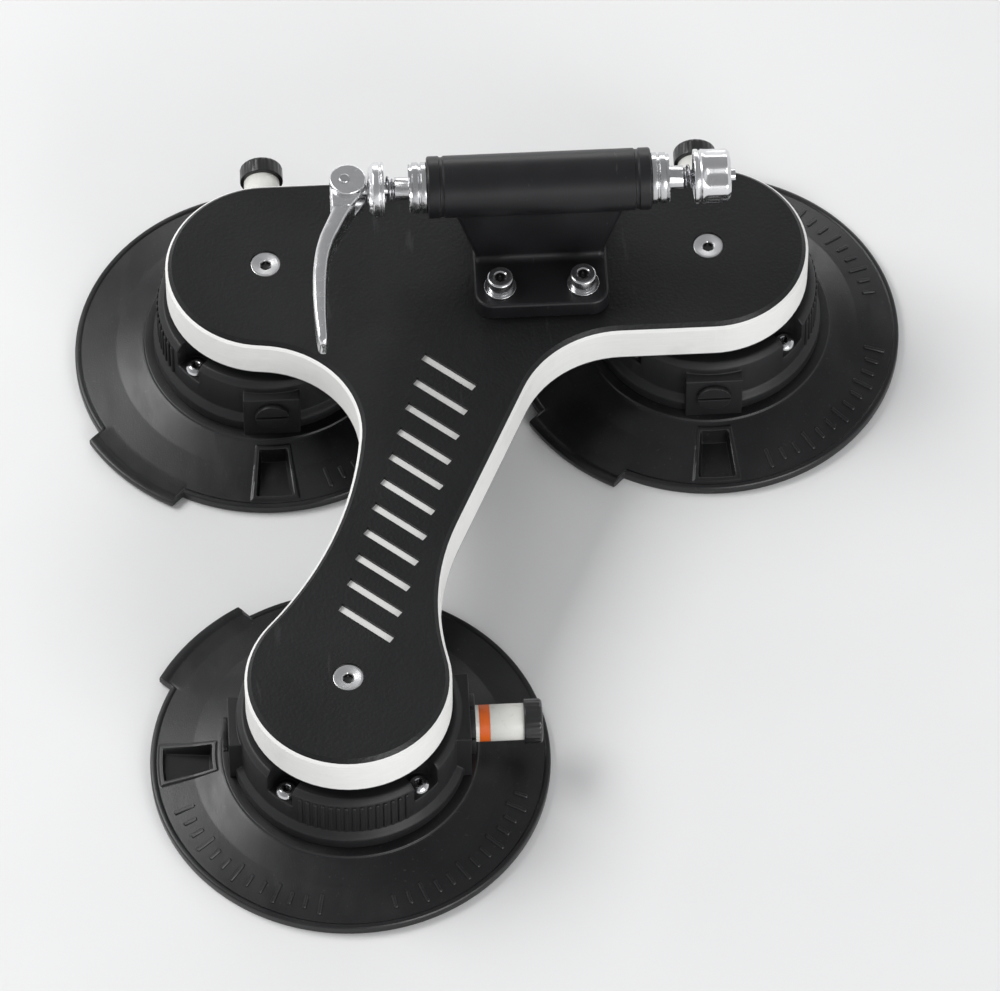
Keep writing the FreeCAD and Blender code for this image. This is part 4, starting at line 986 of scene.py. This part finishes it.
def web_ring(level):
    """The web's section at a height: wide at the foot's fillet and under the barrel."""
    half_x = WEB_FOOT_X + (WEB_HEAD_X - WEB_FOOT_X) * level / axle_rise
    half_y = WEB_HALF_Y
    if level < FILLET:
        half_y += FILLET - math.sqrt(FILLET ** 2 - (FILLET - max(level, 0)) ** 2)
    head_fillet = axle_rise - math.sqrt((BARREL + FILLET) ** 2 - (WEB_HALF_Y + FILLET) ** 2)
    head_fillet += JOIN_DEPTH
    over = min(level - head_fillet, FILLET * 0.68)
    if over > 0:
        half_y += FILLET - math.sqrt(FILLET ** 2 - over ** 2)
    return slab_ring(half_x, half_y, WEB_CORNER, level)


def on_axle(x):
    """A frame on the axle at a place along it, with Z along the axle."""
    return Matrix.Translation((x, axle.y, axle.z)) @ ON_X


foot = Form().skin([
    slab_ring(FOOT_HALF_X - inset, foot_half_y - inset, FOOT_CORNER - inset, level)
    for inset, level in ((0.5, -foot_height), (0, 0.5 - foot_height), (0, -FOOT_CHAMFER),
                         (0.15, -FOOT_CHAMFER * 0.6), (0.5, -0.25), (FOOT_CHAMFER, 0))], at_foot)
levels = [-1.0, 0.0]
levels += [FILLET * step / 6 for step in range(1, 7)]
levels += [FILLET + (barrel_foot - FILLET) * step / 6 for step in range(1, 7)]
levels += [barrel_foot + 0.5 * step for step in range(1, 11)]
levels += [axle_rise - 2]
web = Form().skin([web_ring(level) for level in levels], at_foot)
# One end of the barrel, measured from its face, with the groove beside it
barrel_end = [(BARREL_BORE, 0, 0.5), (BARREL, 0, 0.9), (BARREL, 4.5, 0.2), (BARREL - 0.5, 5, 0.2),
              (BARREL - 0.5, 6, 0.2), (BARREL, 6.5, 0.2)]
barrel_profile = [(r, x - barrel_half, corner) for r, x, corner in barrel_end]
barrel_profile += [(r, barrel_half - x, corner) for r, x, corner in reversed(barrel_end)]
barrel = Form().turn(rounded(barrel_profile), on_axle(axle.x), 144)

# %% Join the block and drill its screw holes
drills = [drill(SCREW_HOLE, -2 * foot_height, 0, Matrix.Translation(place))
          for place in block_places]
block_form = joined([foot, web, barrel], drills)
machined_block = make_piece("machined_block", block_form, "rack", "black_aluminium",
                            ["fork_block"], crease=34)
even_normals(machined_block)

# %% [markdown]
# ## Face nuts
# The load is squeezed against the two face nuts, whose outer faces are cut with radial teeth so
# that they bite. The teeth are a triangle wave in the height of the end face.

# %% Turn the toothed face nuts
TEETH, TOOTH_DEPTH, TOOTH_MIDDLE = 30, 0.45, 7.4
NUT_RADIUS, NUT_NECK, NUT_BORE = 9.9, 9.3, 5.05


def toothed(radius, height, angle):
    r, z = radius / MM, height / MM
    if z > nut_width - 0.2 and r > 5.6:
        wave = abs((angle * TEETH / math.tau) % 1 - 0.5) * 2
        z -= TOOTH_DEPTH * wave * window(r - TOOTH_MIDDLE, 2.0, 0.3)
    return r * MM, z * MM


for side, sign in (("left", -1), ("right", 1)):
    nut = side + "_face_nut"
    nut_width = extent(nut, X)
    inner_face = high(nut).x if sign < 0 else low(nut).x
    outwards = Matrix.Rotation(math.radians(90 * sign), 4, "Y")
    place = Matrix.Translation((inner_face, axle.y, axle.z)) @ outwards
    profile = rounded([
        (NUT_BORE, 0, 0), (NUT_RADIUS, 0, 0.5), (NUT_RADIUS, 2.2, 0.15), (NUT_NECK, 2.5, 0.1),
        (NUT_NECK, 3.1, 0.1), (NUT_RADIUS, 3.4, 0.15), (NUT_RADIUS, nut_width, 0.5)], 3)
    face = (9.2, 8.8, 8.4, 7.6, 6.8, 6.0, 5.7, NUT_BORE)
    profile += [Vector((radius, nut_width)) * MM for radius in face]
    ring = Form().turn(profile, place, 360, toothed)
    make_piece(side + "_toothed_nut", ring, "rack", "steel", [nut], finish=AXLE_STEEL)

# %% [markdown]
# ## The quick release
# The lever's round cam sits off its pin, so half a turn moves the cup by about twice that offset
# and clamps the load. The arm bends clear of the clamp and is dished for the fingers: a row of
# rings along a smooth curve, each a rounded rectangle, gives it. The cup and the adjusting nut
# are turned.

# %% The arm's curve and its rings
pin = middle("cam_pin")
CAM_OFFSET, CAM_RADIUS, CAM_HALF, SLOT_HALF = 1.25, 7.0, 8.0, 3.3
# Stations along the arm: place across and along, half its thickness, half its width
ARM = [(-1.0, -9.0, 4.7, 5.9), (-2.3, -13, 3.6, 5.9), (-5.0, -19, 3.3, 5.8),
       (-7.6, -25, 3.2, 5.8), (-9.8, -33, 3.1, 5.9), (-11.0, -42, 3.1, 6.1),
       (-11.5, -51, 3.0, 6.2), (-11.6, -60, 2.7, 6.2), (-11.4, -67, 2.4, 6.1),
       (-11.2, -71.5, 2.0, 5.4), (-11.1, -73.6, 1.3, 3.8), (-11.1, -74.1, 0.5, 2.0)]
DISH_DEPTH = 0.9


def smooth_run(stations, steps=5):
    """More stations between the given ones, on a smooth curve through them."""
    run = []
    for index in range(len(stations) - 1):
        a, b, c, d = (Vector(stations[min(max(k, 0), len(stations) - 1)])
                      for k in range(index - 1, index + 3))
        for step in range(steps):
            t = step / steps
            run.append(((2 * b) + (c - a) * t + (2 * a - 5 * b + 4 * c - d) * t * t
                        + (3 * b - a - 3 * c + d) * t ** 3) / 2)
    return run + [Vector(stations[-1])]


def arm_ring(station, ahead, count=40):
    """A rounded rectangle across the arm, hollowed a little on its inner side."""
    x, y, thick, wide = station
    forward = (Vector(ahead[:2]) - Vector(station[:2])).normalized()
    out = Vector((-forward.y, forward.x))
    dish = DISH_DEPTH * ramp_up(-y, 30, 42) * ramp_up(-y, 80, 66)
    ring = []
    for step in range(count):
        angle = math.tau * step / count
        cosine, sine = math.cos(angle), math.sin(angle)
        u = math.copysign(abs(cosine) ** 0.5, cosine) * thick
        v = math.copysign(abs(sine) ** 0.5, sine) * wide
        if u < 0:
            u += dish * window(v, wide * 0.95, wide * 0.8)
        place = Vector((x, y)) + out * u
        ring.append((place.x * MM, place.y * MM, v * MM))
    return ring


def arm_rings(stations):
    run = smooth_run(stations)
    ahead = run[1:] + [run[-1] * 2 - run[-2]]
    return [arm_ring(here, there) for here, there in zip(run, ahead)]


print("arm has", len(arm_rings(ARM)), "rings")

# %% The lever: two cam discs, two cheeks and the arm, joined and drilled for the pin
PIN_HOLE, CHEEK_HALF = 2.08, 6.1
# Stations down a cheek: place along the arm, back and front
CHEEK = [(0, -5.6, 7.6), (-3.5, -5.7, 7.0), (-7, -5.7, 5.2), (-11, -5.6, 2.2)]
at_pin = Matrix.Translation(pin)
off_pin = at_pin @ Matrix.Translation((CAM_OFFSET * MM, 0, 0))
lever_shapes = [Form().skin(arm_rings(ARM), at_pin)]
for side in (-1, 1):
    disc = rounded([(0, SLOT_HALF, 0), (CAM_RADIUS, SLOT_HALF, 0.4), (CAM_RADIUS, CAM_HALF, 0.7),
                    (0, CAM_HALF, 0)])
    disc = [Vector((point.x, point.y * side)) for point in disc]
    lever_shapes.append(Form().turn(disc, off_pin, 96))
    cheek = []
    for y, back, front in CHEEK:
        outline = rounded([(back, SLOT_HALF, 0.3), (front, SLOT_HALF, 0.3),
                           (front, CHEEK_HALF, 1.0), (back, CHEEK_HALF, 1.0)], 3)
        cheek.append([(point.x, y * MM, point.y * side) for point in outline])
    lever_shapes.append(Form().skin(cheek, at_pin))
lever_form = joined(lever_shapes, [drill(PIN_HOLE, -20, 20, at_pin)])
forged_lever = make_piece("quick_release_lever", lever_form, "lever", "bare_aluminium",
                          ["cam_lever"], crease=40)
even_normals(forged_lever)

# %% Turn the clamp cup
CUP_RADIUS, RECESS_RADIUS, RECESS_DEPTH, ROD_HOLE = 10.5, 7.9, 3.0, 2.58
cup_length = extent("clamp_cup", X)
cup_profile = rounded([
    (ROD_HOLE, 0, 0), (5.5, 0, 0.5), (6.2, 0.5, 0.4), (CUP_RADIUS - 2.2, 0.6, 0.8),
    (CUP_RADIUS, 2.2, 1.0), (CUP_RADIUS, 4.6, 0.3), (CUP_RADIUS - 0.7, 4.9, 0.2),
    (CUP_RADIUS - 0.7, 5.3, 0.2), (CUP_RADIUS, 5.6, 0.2), (CUP_RADIUS, cup_length, 0.35),
    (RECESS_RADIUS, cup_length, 0.35), (RECESS_RADIUS, cup_length - RECESS_DEPTH, 0.5),
    (ROD_HOLE, cup_length - RECESS_DEPTH, 0)])
clamp_cup = Form().turn(cup_profile, on_axle(low("clamp_cup").x), 144)
make_piece("turned_clamp_cup", clamp_cup, "cup", "bare_aluminium", ["clamp_cup"],
           finish=AXLE_ALUMINIUM)

# %% Turn the adjusting nut
GRIPS, GRIP_DEPTH = 5, 1.5
grip_length = extent("adjusting_nut", X)


def scalloped(radius, height, angle):
    r, z = radius / MM, height / MM
    wave = 0.5 + 0.5 * math.cos(angle * GRIPS)
    cut = ramp_up(z, 3.0, 5.2) * ramp_up(r, 6.0, 8.6)
    return (r - GRIP_DEPTH * cut * wave ** 1.6) * MM, z * MM


grip_profile = rounded([(RECESS_RADIUS, 0, 0.35), (CUP_RADIUS, 0, 0.35), (CUP_RADIUS, 2.6, 0.5)])
grip_profile += rounded(between((CUP_RADIUS, 3.0), (CUP_RADIUS, grip_length - 1.6), 0.5))
grip_profile += rounded([
    (CUP_RADIUS, grip_length - 1.4, 0.2), (CUP_RADIUS - 1.4, grip_length, 0.9),
    (4.6, grip_length, 0.4), (4.0, grip_length - 0.8, 0.3), (ROD_HOLE, grip_length - 0.8, 0.1),
    (ROD_HOLE, RECESS_DEPTH, 0), (RECESS_RADIUS, RECESS_DEPTH, 0.5)])
adjusting_nut = Form().turn(grip_profile, on_axle(low("adjusting_nut").x), 240, scalloped)
make_piece("grip_nut", adjusting_nut, "nut", "bare_aluminium", ["adjusting_nut"],
           finish=AXLE_ALUMINIUM)

# %% [markdown]
# ## Springs
# A spring is a wire along a helix whose two ends are wound flat. The two conical ones ride with
# the rod. Each pump spring is wound to its length at rest and stays fixed in place.

# %% Wind a spring
def wound(start, end, start_radius, end_radius, wire, turns, placing, around=12, per_turn=40):
    """Rings along a helix on X, in millimetres, with a closed coil at both ends."""
    rings = []
    count = round(turns * per_turn)
    for step in range(count + 1):
        share = step / count
        angle = math.tau * turns * share
        flat = ramp_up(share, 0.5 / turns, 1 - 0.5 / turns) * 0.6 + share * 0.4
        radius = start_radius + (end_radius - start_radius) * share
        along = start + wire / 2 + (end - start - wire) * flat
        spoke = Vector((0, math.cos(angle), math.sin(angle)))
        heart = Vector((along, 0, 0)) + spoke * radius
        rings.append([(heart + (spoke * math.cos(a) + Vector((1, 0, 0)) * math.sin(a)) * wire / 2)
                      * MM for a in (math.tau * k / around for k in range(around))])
    return Form().skin(rings, placing)


def span(node, axis):
    return low(node)[axis] / MM, high(node)[axis] / MM


# %% Cone springs on the rod
for side, flip in (("left", 180), ("right", 0)):
    node = side + "_cone_spring"
    start, end = sorted(abs(edge - axle.x / MM) for edge in span(node, X))
    place = Matrix.Translation(axle) @ Matrix.Rotation(math.radians(flip), 4, "Z")
    coil = wound(start, end, start_radius=3.35, end_radius=6.9, wire=0.8, turns=3.5, placing=place)
    make_piece(side + "_cup_spring", coil, "skewer", "spring_steel", [node])
    print(side, "spring from", round(start, 1), "to", round(end, 1), "mm")

# %% Pump springs
for cup in PUMP_BEARING:
    node = cup + "_return_spring"
    axis = X if cup == "rear" else Y
    centre_of_mount = middle(cup + "_hub_lid")[axis] / MM
    start, end = (edge - centre_of_mount for edge in span(node, axis))
    place = mount_frame(cup) @ Matrix.Translation((0, 0, pump_height))
    coil = wound(start, end, start_radius=6.0, end_radius=6.0, wire=1.2, turns=9, placing=place)
    spring = make_piece(cup + "_pump_spring", coil, "rack", "spring_steel", [node])
    spring.parent = None
    place @ Vector((start * MM, 0, 0))
    place @ Vector((end * MM, 0, 0))
    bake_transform(spring)

# %% [markdown]
# ## The studio
# A pale floor, a surrounding that is pale near the ground and darker overhead, and three large
# soft lamps. The rack is almost all black, so what shows its shape is what it mirrors: a dark
# ceiling keeps the board's top deep, and the pale rim and the lamps draw lines along its edges.

# %% Floor
FLOOR_HALF = 6.0
FLOOR_GAP = 0.0002


def floor_finish():
    paper = Finish("paper floor", Roughness=0.85)
    cloud = paper.grain(60, detail=3)
    paper.put(Base_Color=paper.blend(cloud, colour(0.87, 0.87, 0.87), colour(0.84, 0.84, 0.84)))
    return paper.material


floor_mesh = bpy.data.meshes.new("floor")
floor_mesh.from_pydata([(-FLOOR_HALF, -FLOOR_HALF, 0), (FLOOR_HALF, -FLOOR_HALF, 0),
                        (FLOOR_HALF, FLOOR_HALF, 0), (-FLOOR_HALF, FLOOR_HALF, 0)],
                       [], [(0, 1, 2, 3)])
floor_mesh.materials.append(floor_finish())
floor = bpy.data.objects.new("floor", floor_mesh)
floor.location.z = -FLOOR_GAP
bpy.context.scene.collection.objects.link(floor)
print("floor", 2 * FLOOR_HALF, "m wide")

# %% Surroundings
RIM_LIGHT, CEILING_LIGHT, CEILING_FROM = 0.88, 0.32, 0.65
world = bpy.data.worlds.new("studio")
bpy.context.scene.world = world
world.use_nodes = True
sky = Nodes(world.node_tree)
direction = sky.node("ShaderNodeTexCoord", out="Generated")
upward = sky.node("ShaderNodeSeparateXYZ", None, {0: direction}, out="Z")
strength = sky.node("ShaderNodeMapRange", {"interpolation_type": "SMOOTHSTEP"},
                    {"Value": upward, "From Max": CEILING_FROM, "To Min": RIM_LIGHT,
                     "To Max": CEILING_LIGHT})
background = world.node_tree.nodes["Background"]
sky.plug(background.inputs["Strength"], strength)
sky.plug(background.inputs["Color"], colour(0.97, 0.98, 1.0))
print("light", RIM_LIGHT, "at the rim and", CEILING_LIGHT, "overhead")


# %% Lamps
def softbox(name, place, size, watts):
    lamp = bpy.data.lights.new(name, "AREA")
    lamp.shape = "RECTANGLE"
    lamp.size, lamp.size_y = size
    lamp.energy = watts
    holder = bpy.data.objects.new(name, lamp)
    holder.location = place
    holder.rotation_euler = (-Vector(place)).to_track_quat("-Z", "Y").to_euler()
    bpy.context.scene.collection.objects.link(holder)
    print(name, watts, "W")


softbox("window light", (-1.2, 0.55, 1.4), (1.2, 0.8), 23)
softbox("front fill", (1.0, -1.6, 0.75), (1.3, 1.0), 19)
softbox("edge light", (0.3, 1.8, 0.7), (1.8, 0.4), 9)

# %% [markdown]
# ## The camera
# The rack is seen from above its rear pad, a little from the left, through a long lens that
# keeps its circles true.

# %% Camera
AZIMUTH, ELEVATION, DISTANCE, LENS = math.radians(-3.0), math.radians(55.5), 3.2, 300
AIM = Vector((0.0, 0.0, 0.035))
camera_data = bpy.data.cameras.new("camera")
camera_data.sensor_width = 36
camera_data.lens = LENS
camera = bpy.data.objects.new("camera", camera_data)
towards_camera = Vector((math.sin(AZIMUTH) * math.cos(ELEVATION),
                         -math.cos(AZIMUTH) * math.cos(ELEVATION), math.sin(ELEVATION)))
camera.location = AIM + towards_camera * DISTANCE
camera.rotation_euler = (-towards_camera).to_track_quat("-Z", "Y").to_euler()
bpy.context.scene.collection.objects.link(camera)
bpy.context.scene.camera = camera
bpy.context.scene.view_settings.view_transform = "Standard"
print("camera at", *(round(place, 2) for place in camera.location), "m")
